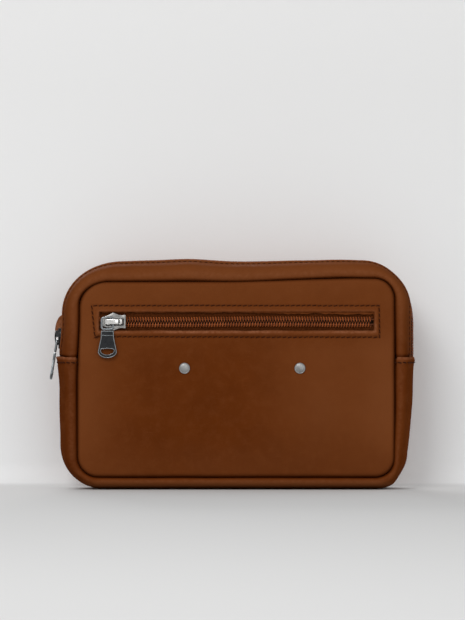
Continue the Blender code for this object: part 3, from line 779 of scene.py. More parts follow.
def panel_painted_light(x, z, depth):
    """Painted light on the front: paler at its top, along its rim, at both sides and in a patch at the
    right.
    """
    rim = (1 - step(depth, 0.003, 0.032)) * (1 - step(z, 0.09, 0.12))
    right_painted_light = step(x, -0.004, 0.058) * step(z, 0.010, 0.050) * (1 - step(z, 0.084, 0.108))
    painted_light = 0.12 + top_painted_light(z) + 0.30 * rim + 0.55 * right_painted_light
    return painted_light + 0.30 * step(-x, 0.050, 0.095) + 0.06 * step(x, 0.050, 0.095)


def front_panel():
    """The front with its window, worn pale with a painted highlight along the window's lower lip."""
    outer = closed(seam_paths(PANEL_INSET))
    inner = window_loop()
    share = 0.5 - 0.5 * np.cos(np.linspace(0, math.pi, PANEL_ROWS))
    flat = outer[None] + (inner - outer)[None] * share[:, None, None]
    x, z = flat[..., 0], flat[..., 1]
    grid = on_panel(x, z)
    depth = inside_depth(x, z)
    frame = frame_distance(x, z)
    # Painted shade at the seam and along the thread frame.
    painted_shade = 0.8 * (1 - step(depth, 0.0, 0.0022)) + 0.25 * hill(frame, 0.0, 0.0007)
    window = box_distance(x, z, WINDOW)
    patchy = 0.5 + 0.5 * np.sin(x * 90.0 + 1.0) * np.sin(x * 37.0)
    # Wear with a painted highlight along the window's lower lip, and a weak painted highlight round the
    # window.
    wear_and_highlight = 0.52 * patchy * hill(window, 0.0009, 0.0008) * (1 - step(z, 0.104, 0.108))
    wear_and_highlight += 0.12 * hill(window, 0.001, 0.001)
    # Painted shadow under the window's ragged upper lip.
    painted_shade += 0.9 * hill(window, 0.0, 0.0006) * (z > POCKET_Z) * (0.5 + ripple(grid, 0.35, 0.006, 33))
    marks = {"painted_shade": np.clip(painted_shade, 0, 1), "wear_and_highlight": wear_and_highlight, "painted_light": panel_painted_light(x, z, depth)}
    name = "front_panel_leather"
    return sheet_object(name, grid, front_leather, LEATHER, wrap=True, flip=True, marks=marks)


fit(front_panel(), ["front_panel_upper", "front_panel_lower"])
front_strip = upper_gusset("front_zip_strip", mirrored=False)
fit(front_strip, ["front_zip_gusset"])
rear_strip = upper_gusset("rear_zip_strip", mirrored=True)
fit(rear_strip, ["rear_zip_gusset"], "root")
base_strip = lower_gusset()
fit(base_strip, ["lower_gusset"], "root")

# ---------------------------------------------------------------- back panel and linings
HOLE_SHARE = 0.001
BACK_ROWS, LINING_ROWS = 60, 40
LINING_INSET = 0.0012                 # the linings stop this far inside the seam


def filled(loop, rows):
    """Points from a loop inwards to a tiny hole at its middle, as rows of the loop's stations."""
    centre = (loop.min(axis=0) + loop.max(axis=0)) / 2
    share = 1 - (1 - HOLE_SHARE) * (0.5 - 0.5 * np.cos(np.linspace(0, math.pi, rows)))
    return centre + (loop - centre)[None] * share[:, None, None]


def on_back(x, z):
    """Points of the back panel's outer face, which is rolled at its seam and slightly padded."""
    depth = inside_depth(x, z)
    y = BACK_Y - edge_roll(depth) + padding(depth, 0.0009, 0.014)
    points = np.stack([x, y, z], axis=-1)
    points[..., 1] += ripple(points, 0.00025, 0.050, 41)
    return points


def back_panel():
    """The back, padded and closed, with painted shade along its seam."""
    flat = filled(closed(seam_paths(PANEL_INSET)), BACK_ROWS)
    grid = on_back(flat[..., 0], flat[..., 1])
    depth = inside_depth(flat[..., 0], flat[..., 1])
    # Painted shade in the seam groove.
    painted_shade = 0.8 * (1 - step(depth, 0.0, 0.0022))
    marks = {"painted_shade": painted_shade}
    name = "back_panel_leather"
    return sheet_object(name, grid, front_leather, LEATHER, wrap=True, marks=marks, capped=True)


def lining_sheet(name, node_name, seed):
    """A flat lining panel, lightly rumpled, in the place of its node."""
    low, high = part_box(node_name)
    flat = filled(closed(seam_paths(LINING_INSET)), LINING_ROWS)
    x, z = flat[..., 0], flat[..., 1]
    grid = np.stack([x, 0 * x + (low[1] + high[1]) / 2, z], axis=-1)
    soft = step(inside_depth(x, z), 0.001, 0.02)
    grid[..., 1] += soft * (ripple(grid, 0.0005, 0.045, seed) + ripple(grid, 0.00015, 0.012, seed + 1))
    return sheet_object(name, grid, lining_cloth, high[1] - low[1], wrap=True, capped=True)


def gusset_lining():
    """Cloth round the inside of the lower gusset."""
    low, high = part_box("lower_gusset_lining")
    corner = 0.0125
    share_and_y = [(0.02, low[1]), (0.55, low[1] * 0.97), (1, -corner), (1, 0.0), (1, corner)]
    share_and_y += [(0.55, 0.0195), (0.02, high[1])]
    curve = smooth_curve(share_and_y, LINING_ROWS)
    grid = sweep(seam_paths()[1], outer_paths(0.0046)[1], curve)
    grid = grid + grid_normals(grid) * ripple(grid, 0.0003, 0.03, 51)[..., None]
    return sheet_object("base_lining", grid, lining_cloth, 0.0005)


def pocket_bag():
    """One length of cloth: down behind the panel, round the fold and up behind the zip."""
    low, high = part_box("pocket_bag_lower")
    front_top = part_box("pocket_bag_front_upper")[1][2]
    back_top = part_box("pocket_bag_back_upper")[1][2]
    front_y, back_y = low[1] + 0.00015, high[1] - 0.00015
    across = np.linspace(low[0], high[0], 60)
    turn = np.linspace(0, math.pi, 7)[1:-1]
    middle, radius = (front_y + back_y) / 2, (back_y - front_y) / 2
    rows = [(front_y, z) for z in np.linspace(front_top, low[2] + radius, 40)]
    rows += [(middle - radius * math.cos(t), low[2] + radius - radius * math.sin(t)) for t in turn]
    rows += [(back_y, z) for z in np.linspace(low[2] + radius, back_top, 50)]
    grid = np.array([[(x, y, z) for x in across] for y, z in rows])
    grid[..., 1] += ripple(grid, 0.0001, 0.03, 52)
    return sheet_object("pocket_cloth", grid, lining_cloth, 0.0003)


fit(back_panel(), ["back_panel"], "root")
front_nodes = ["front_lining_lower", "front_lining_upper"]
fit(lining_sheet("front_lining", front_nodes[0], 61), front_nodes)
fit(lining_sheet("rear_lining", "back_lining", 63), ["back_lining"], "root")
fit(gusset_lining(), ["lower_gusset_lining"], "root")
fit(pocket_bag(), ["pocket_bag_lower", "pocket_bag_front_upper", "pocket_bag_back_upper"])

# ---------------------------------------------------------------- zips
TAPE = 0.0006
TAPE_START = 0.0012                   # how far from the chain's middle a tape starts
MAIN_TAPE_END, POCKET_TAPE_END = 0.0118, 0.0134
# Depths below the outline: first for the top and left, then for the right side, where the chain shows
CHAIN_DEPTHS = (0.00135, 0.00020)
TAPE_DEPTHS = (0.00225, 0.00110)
SEWN_DEPTHS = (0.00340, 0.00460)
CHAIN_HALF = 0.0034
CHAIN_HEIGHT = 0.00085
CHAIN_CENTRE = 0.00045                # depth of the chain's middle below the leather's face
WIRE = 0.00028
HEADS, TAILS = -0.0001, CHAIN_HALF - WIRE     # where the wire's turns begin and end, from the middle
CORE_RADIUS, CORE_SHADE = 0.00042, 0.8         # the filler cord inside each coil, and its painted shade
COIL_ROWS = ((0.0019, 0.0, 0.55), (0.0026, 0.5, 0.6))     # rows of thread: reach, phase and painted shade
ROW_RADIUS = 0.00013
MAIN_PITCH, POCKET_PITCH = 0.00176, 0.00172
TURN_STEPS = 14


def main_track(depth, side_depth, foot=MOUTH_Z - 0.0045):
    """Points along the main zip below the outline, and how they face; side_depth holds on the right."""
    path, side = outer_paths(depth)[0], outer_paths(side_depth)[0]
    path = path + (side - path) * right_side(path)[:, None]
    path = np.vstack([(path[0, 0], foot), path, (path[-1, 0], foot)])
    points = np.column_stack([path[:, 0], 0 * path[:, 0], path[:, 1]])
    return points, away(points)


def pocket_track(inset):
    """Points along the pocket zip, sagging a little, and the way they face."""
    x = np.linspace(pocket_low[0] - 0.0010, pocket_high[0] + 0.0018, 200)
    sag = 0.0005 * np.sin(x * 46.0 + 0.6) * (1 - step(np.abs(x), 0.07, 0.087))
    points = np.column_stack([x, 0 * x + FRONT_Y + inset, POCKET_Z + 0.4 * sag])
    outward = np.tile(np.array([0, -1.0, 0]), (len(x), 1))
    return points, outward


def signed_power(values, power):
    """Flattens or sharpens a wave and keeps its sign."""
    return np.sign(values) * np.abs(values) ** power


def coil_wire(track, across, side, pitch, turns):
    """The wire's helix, its heads crossing the middle, and how much painted shade each of its points gets.
    """
    points, outward = track
    lengths = arc_lengths(points)
    angle = np.arange(turns * TURN_STEPS + 1) * 2 * math.pi / TURN_STEPS
    place = pitch * angle / (2 * math.pi) + (0.25 + 0.25 * side) * pitch
    wave, height = signed_power(np.cos(angle), 0.7), signed_power(np.sin(angle), 0.8)
    reach = (HEADS + TAILS) / 2 + (TAILS - HEADS) / 2 * wave
    centre, out = sample(points, lengths, place), sample(outward, lengths, place)
    line = centre + across * (side * reach)[:, None] + out * ((CHAIN_HEIGHT - WIRE) * height)[:, None]
    reach = np.abs(reach)
    # Painted shade on the lower half of each turn, in the middle where the two halves meet, and a little
    # towards the tails.
    wire_shade = np.maximum(step(-height, -0.35, 0.45), 0.70 * (1 - step(reach, 0.0004, 0.0012)))
    wire_shade = np.maximum(wire_shade, 0.3 * step(reach, 0.0026, 0.0031))
    return tube(line, WIRE, 6, out + 0.3 * across), np.repeat(wire_shade, 6)


def coil_row(track, across, pitch, turns, phase):
    """One row of the thread that holds a coil down, dipping between its turns; across is its offset."""
    points, outward = track
    lengths = arc_lengths(points)
    steps = np.arange(turns * 6) / 6
    place = pitch * (steps + 0.6)
    centre, out = sample(points, lengths, place), sample(outward, lengths, place)
    dip = CHAIN_HEIGHT + 0.00006 + 0.00012 * np.cos(2 * math.pi * (steps + phase))
    return tube(centre + across + out * dip[:, None], ROW_RADIUS, 4, out)


def coil(track, across, side, pitch):
    """One chain half: the wire, the cord inside it and the two rows of thread, with the painted shade on
    each.
    """
    points, outward = track
    across = np.array(across, float)
    turns = int((arc_lengths(points)[-1] - pitch) / pitch)
    wire, wire_shade = coil_wire(track, across, side, pitch, turns)
    cord = tube(points + across * side * (HEADS + TAILS) / 2, CORE_RADIUS, 6, outward)
    parts, shades = [wire, cord], [wire_shade, np.full(len(cord[0]), CORE_SHADE)]
    for reach, phase, shade in COIL_ROWS:
        row = coil_row(track, across * side * reach, pitch, turns, phase)
        parts.append(row)
        shades.append(np.full(len(row[0]), shade))
    points, faces = joined(parts)
    return points, faces, np.concatenate(shades)


def chain_object(name, points, faces, coil_shade):
    """A chain half as a piece, with a per-point value for how much painted shade each point gets."""
    item = mesh_object(name, points, faces, coil_nylon)
    mark = item.data.attributes.new("coil_shade", "FLOAT", "POINT")
    mark.data.foreach_set("value", np.asarray(coil_shade, np.float32))
    return item


def main_tape(side):
    """From under the chain out to where the tape is sewn inside the leather."""
    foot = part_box("main_zip_tape_rear")[0][2]
    high, outward = main_track(*TAPE_DEPTHS, foot=foot)
    low = main_track(*SEWN_DEPTHS, foot=foot)[0]
    grid = []
    for offset in np.linspace(TAPE_START, MAIN_TAPE_END, 16):
        share = step(offset, CHAIN_HALF, 0.0062)
        grid.append(high + (low - high) * share + np.array([0, side * offset, 0]))
    grid = np.array(grid)
    return grid + outward[None] * ripple(grid, 0.00006, 0.012, 71)[..., None]


def pocket_tape(side):
    """A flat tape behind the window, from under the chain to where it is sewn to the leather."""
    low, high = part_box("pocket_zip_tape_" + ("lower" if side < 0 else "upper"))
    x = np.linspace(low[0], high[0], 180)
    points = np.column_stack([x, 0 * x + low[1] + 0.0001, 0 * x + POCKET_Z])
    offsets = np.linspace(side * TAPE_START, side * POCKET_TAPE_END, 12)
    grid = points[None] + np.array([0, 0, 1.0]) * offsets[:, None, None]
    outward = np.array([0, -1.0, 0])
    return grid + outward * ripple(grid, 0.00008, 0.012, 71)[..., None]


def add_main_zip():
    """Both halves of the main zip; the front half is left without a body, the rear half hangs on the body.
    """
    across = (0, 1, 0)
    sides = (("front", -1, ("main_zip_coil_front",), ("main_zip_tape_front", "main_zip_tape_start")),
             ("rear", 1, ("main_zip_coil_rear", "main_zip_coil_start"), ("main_zip_tape_rear",)))
    for name, side, chain_nodes, tape_nodes in sides:
        points, faces, coil_shade = coil(main_track(*CHAIN_DEPTHS), across, side, MAIN_PITCH)
        chain = chain_object("main_chain_" + name, settle(points, rear=side > 0), faces, coil_shade)
        grid = settle(main_tape(side), rear=side > 0)
        tape = sheet_object("main_tape_" + name, grid, tape_cloth, TAPE, flip=side > 0)
        body = "root" if side > 0 else None
        fit(chain, chain_nodes, body)
        fit(tape, tape_nodes, body)


def add_pocket_zip():
    """Both halves of the pocket zip, left without a body like the front."""
    across = (0, 0, 1)
    for name, side in (("lower", -1), ("upper", 1)):
        points, faces, coil_shade = coil(pocket_track(CHAIN_CENTRE + 0.0002), across, side, POCKET_PITCH)
        chain = chain_object("pocket_chain_" + name, points, faces, coil_shade)
        tape = sheet_object("pocket_tape_" + name, pocket_tape(side), tape_cloth, TAPE, flip=side > 0)
        fit(chain, ["pocket_zip_coil_" + name])
        fit(tape, ["pocket_zip_tape_" + name])


add_main_zip()
add_pocket_zip()

# ---------------------------------------------------------------- sewing
STITCH_PITCH = 0.0034
STITCH_LENGTH = 0.0021
STITCH_RADIUS = 0.00046
STITCH_LIFT = 0.00010
STITCH_DIVE = 0.0003                  # how far below the surface its ends sink
STITCH_SLANT = 0.20
HOLE_RADIUS, LARGE_HOLE_RADIUS = 0.00036, 0.0008


def stitches(points, outward, closed_row=False):
    """A row of slightly slanted stitches on a surface, each diving into it at both ends."""
    if closed_row:
        points, outward = np.vstack([points, points[:1]]), np.vstack([outward, outward[:1]])
    lengths = arc_lengths(points)
    count = max(1, round(lengths[-1] / STITCH_PITCH))
    parts, holes = [], []
    share = np.linspace(-0.5, 0.5, 7)
    fullness = np.sqrt(1 - (2 * share) ** 4 * 0.999)
    arch = STITCH_LIFT + (STITCH_RADIUS + STITCH_DIVE) * (fullness - 1)
    width = STITCH_RADIUS * (0.55 + 0.45 * fullness)
    for i in range(count):
        middle = (i + 0.5) * lengths[-1] / count
        places = np.clip(middle + share * STITCH_LENGTH, 0, lengths[-1])
        line, out = sample(points, lengths, places), sample(outward, lengths, places)
        side = np.cross(line[-1] - line[0], out[3])
        line = line + side * (share * STITCH_SLANT)[:, None]
        for end in (0, -1):
            holes.append(needle_hole(line[end], out[end]))
        line = line + out * arch[:, None]
        parts.append(tube(line, width, 6, out))
    return joined(parts), joined(holes)


def needle_hole(spot, out, size=HOLE_RADIUS):
    """A dark dimple where a stitch dives in: a low dome of the hole's shade."""
    along = np.cross(out, (0.31, 0.82, 0.48))
    along /= np.linalg.norm(along)
    across = np.cross(out, along)
    turn = np.linspace(0, 2 * math.pi, 8, endpoint=False)
    rings = []
    for radius, height in ((1.0, -0.00004), (0.75, 0.00008), (0.3, 0.00013)):
        ring = np.outer(np.cos(turn), along) + np.outer(np.sin(turn), across)
        rings.append(spot + size * radius * ring + out * height)
    faces = grid_faces(3, 8, wrap=True)
    faces.append(tuple(range(16, 24)))
    return np.vstack(rings), faces


def normals_of(surface, x, z, facing):
    """Unit normals of a surface given as points over x and z, on the side it faces."""
    tiny = 0.0002
    dx = surface(x + tiny, z) - surface(x - tiny, z)
    dz = surface(x, z + tiny) - surface(x, z - tiny)
    normal = np.cross(dz, dx) * -facing
    return normal / np.linalg.norm(normal, axis=-1, keepdims=True)


def box_corners(left, right, bottom, top):
    return (left, bottom), (right, bottom), (right, top), (left, top)


def corner_path(corners, count=60):
    """Points round a closed row of corners."""
    return np.vstack([run(a, b, count) for a, b in zip(corners, corners[1:] + corners[:1])])


def row_on_grid(grid, heights, target):
    """Along each column, the point where the given heights pass the target."""
    found = []
    for c in range(grid.shape[1]):
        order = np.argsort(heights[:, c])
        found.append([np.interp(target, heights[order, c], grid[order, c, i]) for i in range(3)])
    return np.array(found)


def mesh_grid(item, columns):
    """The grid of points a sheet was made from."""
    points = np.array([v.co for v in item.data.vertices])
    return points.reshape(-1, columns, 3)


def thread_piece(name, rows, body=None, extra=()):
    """Rows of stitches and their needle holes as two pieces, which must move alike."""
    threads, holes = [row[0] for row in rows], [row[1] for row in rows]
    fit(mesh_object(name, *joined(threads + list(extra)), thread_fibre), body=body)
    fit(mesh_object(name + "_holes", *joined(holes), hole_shade), body=body)


def frame_thread():
    """The seam round the window, and two larger holes in the tape at the window's right end."""
    path = corner_path(FRAME_CORNERS)
    wander = ripple(np.stack([path[:, 0], 0 * path[:, 0], path[:, 1]], axis=-1), 0.00016, 0.013, 81)
    x, z = path[:, 0], path[:, 1] + wander
    points, out = on_panel(x, z), normals_of(on_panel, x, z, -1)
    threads, holes = stitches(points, out, closed_row=True)
    tape_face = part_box("pocket_zip_tape_lower")[0][1]
    spots = [(WINDOW[1] - 0.0009, tape_face, POCKET_Z + rise) for rise in (0.0041, -0.0039)]
    large = [needle_hole(np.array(spot), np.array([0, -1.0, 0]), LARGE_HOLE_RADIUS) for spot in spots]
    return threads, joined([holes] + large)


def thread_tails():
    """Loose ends of thread at the frame's lower left corner."""
    x0, z0 = FRAME_CORNERS[0]
    start = on_panel(np.array(x0), np.array(z0))
    ends = ((0.0010, -0.0004, -0.0016), (0.0022, -0.0006, -0.0008), (-0.0008, -0.0003, -0.0011))
    parts = []
    for end in ends:
        line = smooth_curve([start, start + np.array(end) * (0.4, 1, 0.6), start + np.array(end)], 8)
        parts.append(tube(line, 0.00013, 5, np.array([0.3, -1.0, 0.2])))
    return joined(parts)


def zip_edge_thread(item, columns):
    """Along one zip strip, where it is pressed down beside the main zip."""
    grid = mesh_grid(item, columns)[4:-4]
    line = row_on_grid(grid, np.abs(grid[..., 1]), -THREAD_LINE_Y)[1:-1]
    return stitches(line, away(line))


def hem_thread(item, columns, left):
    """Across one side of the lower gusset, just below its hem."""
    grid = mesh_grid(item, columns)
    third = columns // 3
    part = np.swapaxes(grid[3:-3, -third:] if left else grid[3:-3, :third], 0, 1)
    line = row_on_grid(part, part[..., 2], MOUTH_Z - HEM_STITCH_DROP)
    out = np.cross(np.gradient(line, axis=0), np.array([0, 0, -1.0]))
    out /= np.linalg.norm(out, axis=1, keepdims=True)
    if out[len(out) // 2, 0] * (-1 if left else 1) < 0:
        out = -out
    return stitches(line, out)


upper_columns, lower_columns = len(seam_paths()[0]) + 2, len(seam_paths()[1])
thread_piece("front_edge_thread", [zip_edge_thread(front_strip, upper_columns)])
thread_piece("rear_edge_thread", [zip_edge_thread(rear_strip, upper_columns)], "root")
hems = [hem_thread(base_strip, lower_columns, left) for left in (True, False)]
thread_piece("hem_thread", hems, "root")
thread_piece("window_thread", [frame_thread()], extra=[thread_tails()])

# ---------------------------------------------------------------- belt loops
LOOP_ROWS, LOOP_COLUMNS = 46, 25
LOOP_THICKNESS = 0.0018
LOOP_TAB = 0.011                      # how much of each end is sewn down


def strap_grid(low, high, seed):
    """A strap that lies flat at both ends and bows off the back between them."""
    rest, raised = low[1] + LOOP_THICKNESS + 0.0010, high[1] - 0.0001
    across = np.linspace(low[0], high[0], LOOP_COLUMNS)
    z = np.linspace(low[2], high[2], LOOP_ROWS)
    lift = step(z, low[2] + LOOP_TAB - 0.001, low[2] + LOOP_TAB + 0.011)
    lift *= 1 - step(z, high[2] - LOOP_TAB - 0.011, high[2] - LOOP_TAB + 0.001)
    bow = 0.0004 * np.sin(math.pi * (z - low[2]) / (high[2] - low[2]))
    edge = np.minimum(across - low[0], high[0] - across)
    rounding = 0.0006 * np.clip(1 - edge / 0.0018, 0, 1) ** 2
    y = (rest + (raised - rest) * lift + bow)[:, None] - rounding[None]
    grid = np.stack([across[None] + 0 * y, y, z[:, None] + 0 * y], axis=-1)
    grid[..., 1] += ripple(grid, 0.00015, 0.03, seed)
    return grid


def belt_loop(side, seed):
    """A strap on the back with a box of stitches at each end."""
    low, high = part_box("belt_loop_" + side)
    grid = strap_grid(low, high, seed)
    strap = sheet_object("belt_loop_leather_" + side, grid, gusset_leather, LOOP_THICKNESS, flip=True)
    fit(strap, ["belt_loop_" + side], "root")
    left, right = low[0] + 0.003, high[0] - 0.003
    foot = low[2] + 0.0025, low[2] + LOOP_TAB - 0.002
    head = high[2] - LOOP_TAB + 0.002, high[2] - 0.0025
    middle = grid[:, LOOP_COLUMNS // 2]
    rows = []
    for bottom, top in (foot, head):
        path = corner_path(box_corners(left, right, bottom, top), 20)
        y = np.interp(path[:, 1], middle[:, 2], middle[:, 1])
        points = np.column_stack([path[:, 0], y, path[:, 1]])
        out = np.tile(np.array([0, 1.0, 0]), (len(points), 1))
        rows.append(stitches(points, out, closed_row=True))
    thread_piece("belt_loop_thread_" + side, rows, "root")


belt_loop("left", 91)
belt_loop("right", 92)

# ---------------------------------------------------------------- metal
ARC_POINTS = 6                        # points on each rounded corner


def plate(name, loops, low, high, bevel, material):
    """A flat piece between two heights with rounded rims, as a mesh in its own frame."""
    curve = bpy.data.curves.new(name, "CURVE")
    curve.dimensions = "2D"
    curve.fill_mode = "BOTH"
    curve.extrude = (high - low) / 2 - bevel
    curve.bevel_depth = bevel
    curve.bevel_resolution = 3
    curve.offset = -bevel
    for loop in loops:
        spline = curve.splines.new("POLY")
        spline.points.add(len(loop) - 1)
        spline.use_cyclic_u = True
        for point, (x, y) in zip(spline.points, loop):
            point.co = (x, y, 0, 1)
    holder = bpy.data.objects.new(name + "_curve", curve)
    bpy.context.scene.collection.objects.link(holder)
    bpy.context.view_layer.update()
    data = bpy.data.meshes.new_from_object(holder.evaluated_get(bpy.context.evaluated_depsgraph_get()))
    bpy.data.objects.remove(holder)
    data.transform(Matrix.Translation((0, 0, (high + low) / 2)))
    data.materials.clear()
    data.materials.append(material)
    item = bpy.data.objects.new(name, data)
    bpy.context.scene.collection.objects.link(item)
    data.shade_smooth()
    data.set_sharp_from_angle(angle=math.radians(40))
    return item


def rounded(loop, radius):
    """The loop with each corner cut to an arc of about the given radius."""
    result = []
    count = len(loop)
    for i in range(count):
        before, here, after = (np.array(loop[j % count], float) for j in (i - 1, i, i + 1))
        reach_in = min(radius, 0.45 * np.linalg.norm(before - here))
        reach_out = min(radius, 0.45 * np.linalg.norm(after - here))
        start = here + (before - here) / np.linalg.norm(before - here) * reach_in
        end = here + (after - here) / np.linalg.norm(after - here) * reach_out
        for t in np.linspace(0, 1, ARC_POINTS):
            result.append(tuple((1 - t) ** 2 * start + 2 * t * (1 - t) * here + t * t * end))
    return result


def shrink(loop, amount):
    """A counter-clockwise loop moved inwards."""
    points = np.array(loop)
    along = np.roll(points, -1, axis=0) - np.roll(points, 1, axis=0)
    along /= np.linalg.norm(along, axis=1, keepdims=True)
    return [tuple(p) for p in points + np.column_stack([-along[:, 1], along[:, 0]]) * amount]


# Which way along, across and outwards point for metal on the front and at the left side
FACING_FRONT = ((1, 0, 0), (0, 0, 1), (0, -1, 0))
FACING_LEFT = ((0, 0, 1), (0, 1, 0), (-1, 0, 0))


def carriage(place, columns):
    """Frame of a slider: its columns are the world directions of along, across and outwards."""
    return Matrix([[columns[c][r] for c in range(3)] + [place[r]] for r in range(3)] + [[0, 0, 0, 1]])


def box_middle(node_name):
    low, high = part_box(node_name)
    return [(a + b) / 2 for a, b in zip(low, high)]


def slider_carriages():
    """Where the two sliders' own frames lie: the pocket's on the front, the main one's at the left side."""
    x, _, z = box_middle("pocket_slider_body")
    pocket = carriage((x, FRONT_Y, z), FACING_FRONT)
    _, y, z = box_middle("main_slider_body")
    main = carriage((upper_low[0], y, z), FACING_LEFT)
    return {"pocket": pocket, "main": main}


SLIDER_HALF_LENGTH = 0.0079
SLIDER_HALF_WIDTH = 0.0059
SLIDER_TOP, SLIDER_CEILING, SLIDER_FLANGE_FOOT = 0.00185, 0.00095, 0.0003
SLIDER_FLOOR, SLIDER_BOTTOM = -0.0030, -0.0037
BRIDGE_START, BRIDGE_END, BRIDGE_TOP = -0.0054, 0.0059, 0.00455
FLANGE = 0.0008                       # how wide the turned-in edge is
PULLER_HEIGHT = 0.0028
RING_MIDDLE_X = -0.0047
PULLER_SHIFT = 0.0010                 # the pocket's ring hangs towards the mouth of its slider
PULLER_RIM = 0.0006


def slider_outline():
    """A shield: square at the mouth, drawn in, widest at a blunt point, then narrowing to the nose."""
    side = [(SLIDER_HALF_LENGTH, 0.0044), (0.0058, 0.0041), (0.0038, 0.0043), (0.0018, 0.0050)]
    side += [(0.0001, SLIDER_HALF_WIDTH), (-0.0016, 0.0050), (-0.0040, 0.0038)]
    side += [(-SLIDER_HALF_LENGTH, 0.0026)]
    return [(x, -y) for x, y in reversed(side)] + side


def shade_outline():
    """Painted shade round the bridge's foot: a ring of dark metal."""
    start, end = BRIDGE_START + 0.0006, BRIDGE_END + 0.0008
    return [(start, -0.0028), (end, -0.0026), (end, 0.0021), (start, 0.0021)]


def bridge_outline():
    """The bridge seen from the side: two feet, a bar over them and a notch near its mouth end."""
    foot, under, leg = SLIDER_TOP - 0.0001, 0.0036, 0.0014
    inside = [(BRIDGE_START, foot), (BRIDGE_START + leg, foot), (BRIDGE_START + leg, under)]
    inside += [(BRIDGE_END - leg, under), (BRIDGE_END - leg, foot), (BRIDGE_END, foot)]
    nose = [(0.0, 0.0010), (0.0006, 0.0005), (0.0014, 0.0004)]
    nose += [(0.0016, 0.0009), (0.0020, 0.0009), (0.0022, 0.0003)]
    back = [(0.0012, BRIDGE_TOP), (-0.0014, BRIDGE_TOP - 0.0001)]
    back += [(BRIDGE_START + 0.0012, BRIDGE_TOP - 0.0005), (BRIDGE_START, BRIDGE_TOP - 0.0012)]
    return inside + [(BRIDGE_END - x, BRIDGE_TOP - drop) for x, drop in nose] + back


def slider_shell(name, metal):
    """Two plates joined by a post, with a crown on the upper one."""
    shape = rounded(slider_outline(), 0.0007)
    nose, throat = -SLIDER_HALF_LENGTH + 0.0006, -0.0028
    wedge = rounded([(nose, -0.0012), (throat, -0.0004), (throat, 0.0004), (nose, 0.0012)], 0.0003)
    crown_low, crown_high = SLIDER_TOP - 0.0003, SLIDER_TOP + 0.0002
    return [
        plate(name + "_top", [shape], SLIDER_CEILING, SLIDER_TOP, 0.0004, metal),
        plate(name + "_crown", [shrink(shape, 0.0008)], crown_low, crown_high, 0.00022, metal),
        plate(name + "_bottom", [shrink(shape, 0.0014)], SLIDER_BOTTOM, SLIDER_FLOOR, 0.0003, metal),
        plate(name + "_post", [wedge], SLIDER_FLOOR, SLIDER_CEILING, 0.00005, metal),
    ]


def flange(name, side, metal):
    """The upper plate's turned-in edge on one side."""
    outer = np.array([(x, y) for x, y in rounded(slider_outline(), 0.0007) if y * side > 0.0022])
    inner = outer - np.column_stack([0 * outer[:, 0], np.full(len(outer), side * FLANGE)])
    loop = [tuple(p) for p in np.vstack([outer, inner[::-1]])]
    name += "_flange_" + ("left" if side < 0 else "right")
    return plate(name, [loop], SLIDER_FLANGE_FOOT, SLIDER_CEILING + 0.0001, 0.00008, metal)


def slider_bridge(name, plating):
    """The bridge and the lock under it."""
    bridge = plate(name + "_bridge", [rounded(bridge_outline(), 0.0005)], -0.0017, 0.0017, 0.0005, plating)
    bridge.data.transform(Matrix.Rotation(math.pi / 2, 4, "X"))
    outline = box_corners(-0.0002, BRIDGE_END - 0.0015, -0.0011, 0.0011)
    lock = plate(name + "_lock", [outline], SLIDER_TOP - 0.0002, 0.0037, 0.0002, tarnish_and_shade)
    return [bridge, lock]


def slider_fittings(name, metal):
    """The raised lip at its mouth, a knob, painted shade round the bridge's foot and a dark plate in the
    bridge's notch as painted shade.
    """
    start = SLIDER_HALF_LENGTH - 0.0012
    lip = box_corners(start, start + 0.0012, -0.0043, 0.0043)
    mouth = plate(name + "_mouth", [lip], SLIDER_TOP - 0.0004, SLIDER_TOP + 0.0004, 0.0003, metal)
    rows = [(0.0013, 0.0010), (0.0013, 0.0018), (0.0011, 0.00205), (0.0006, 0.00215)]
    knob = turned(name + "_knob", rows, Matrix.Translation((-0.0021, -0.0030, 0)), metal, 20)
    # Painted shade round the bridge's foot.
    shade_loop = rounded(shade_outline(), 0.0006)
    shade = plate(name + "_shade", [shade_loop], SLIDER_TOP + 0.0001, SLIDER_TOP + 0.00032, 0.0001, tarnish_and_shade)
    # Painted shade in the bridge's notch: a thin dark plate.
    slot = box_corners(BRIDGE_END - 0.0027, BRIDGE_END - 0.0022, -0.0016, 0.0016)
    notch = plate(name + "_notch", [slot], BRIDGE_TOP - 0.0006, BRIDGE_TOP - 0.0001, 0.0001, tarnish_and_shade)
    return [mouth, knob, shade, notch]


def slider(name, place, metal, plating, head_scale=1.0):
    """The slider's pieces, brought to their place; the mouth end may be shortened."""
    pieces = slider_shell(name, metal)
    pieces += [flange(name, side, metal) for side in (-1, 1)]
    pieces += slider_bridge(name, plating)
    pieces += slider_fittings(name, metal)
    stands_for = {name + "_top": [name + "_slider_body"], name + "_bridge": [name + "_slider_bridge"]}
    for item in pieces:
        for vertex in item.data.vertices:
            vertex.co.x *= head_scale if vertex.co.x > 0 else 1
        item.data.transform(place)
        fit(item, stands_for.get(item.name, ()), name + "_slider")


def half_ellipse(centre_y, half_width, drop, steps):
    """The lower half of an ellipse, from its right end to its left end."""
    turn = np.linspace(0, math.pi, steps)
    return [(half_width * math.cos(t), centre_y - drop * math.sin(t)) for t in turn]


def tongue_outline(inset):
    """The flared tongue, neck included, moved inwards by inset."""
    neck, foot = 0.0040 - inset, 0.0060 - inset
    side = [(neck, -0.0058 - inset), (neck + 0.0002, -0.0105), (0.0052 - inset, -0.0150)]
    bottom = half_ellipse(-0.0192, foot, 0.0040 - inset, 24)
    return [(-x, y) for x, y in side] + [(x, y) for x, y in bottom[::-1]] + side[::-1]


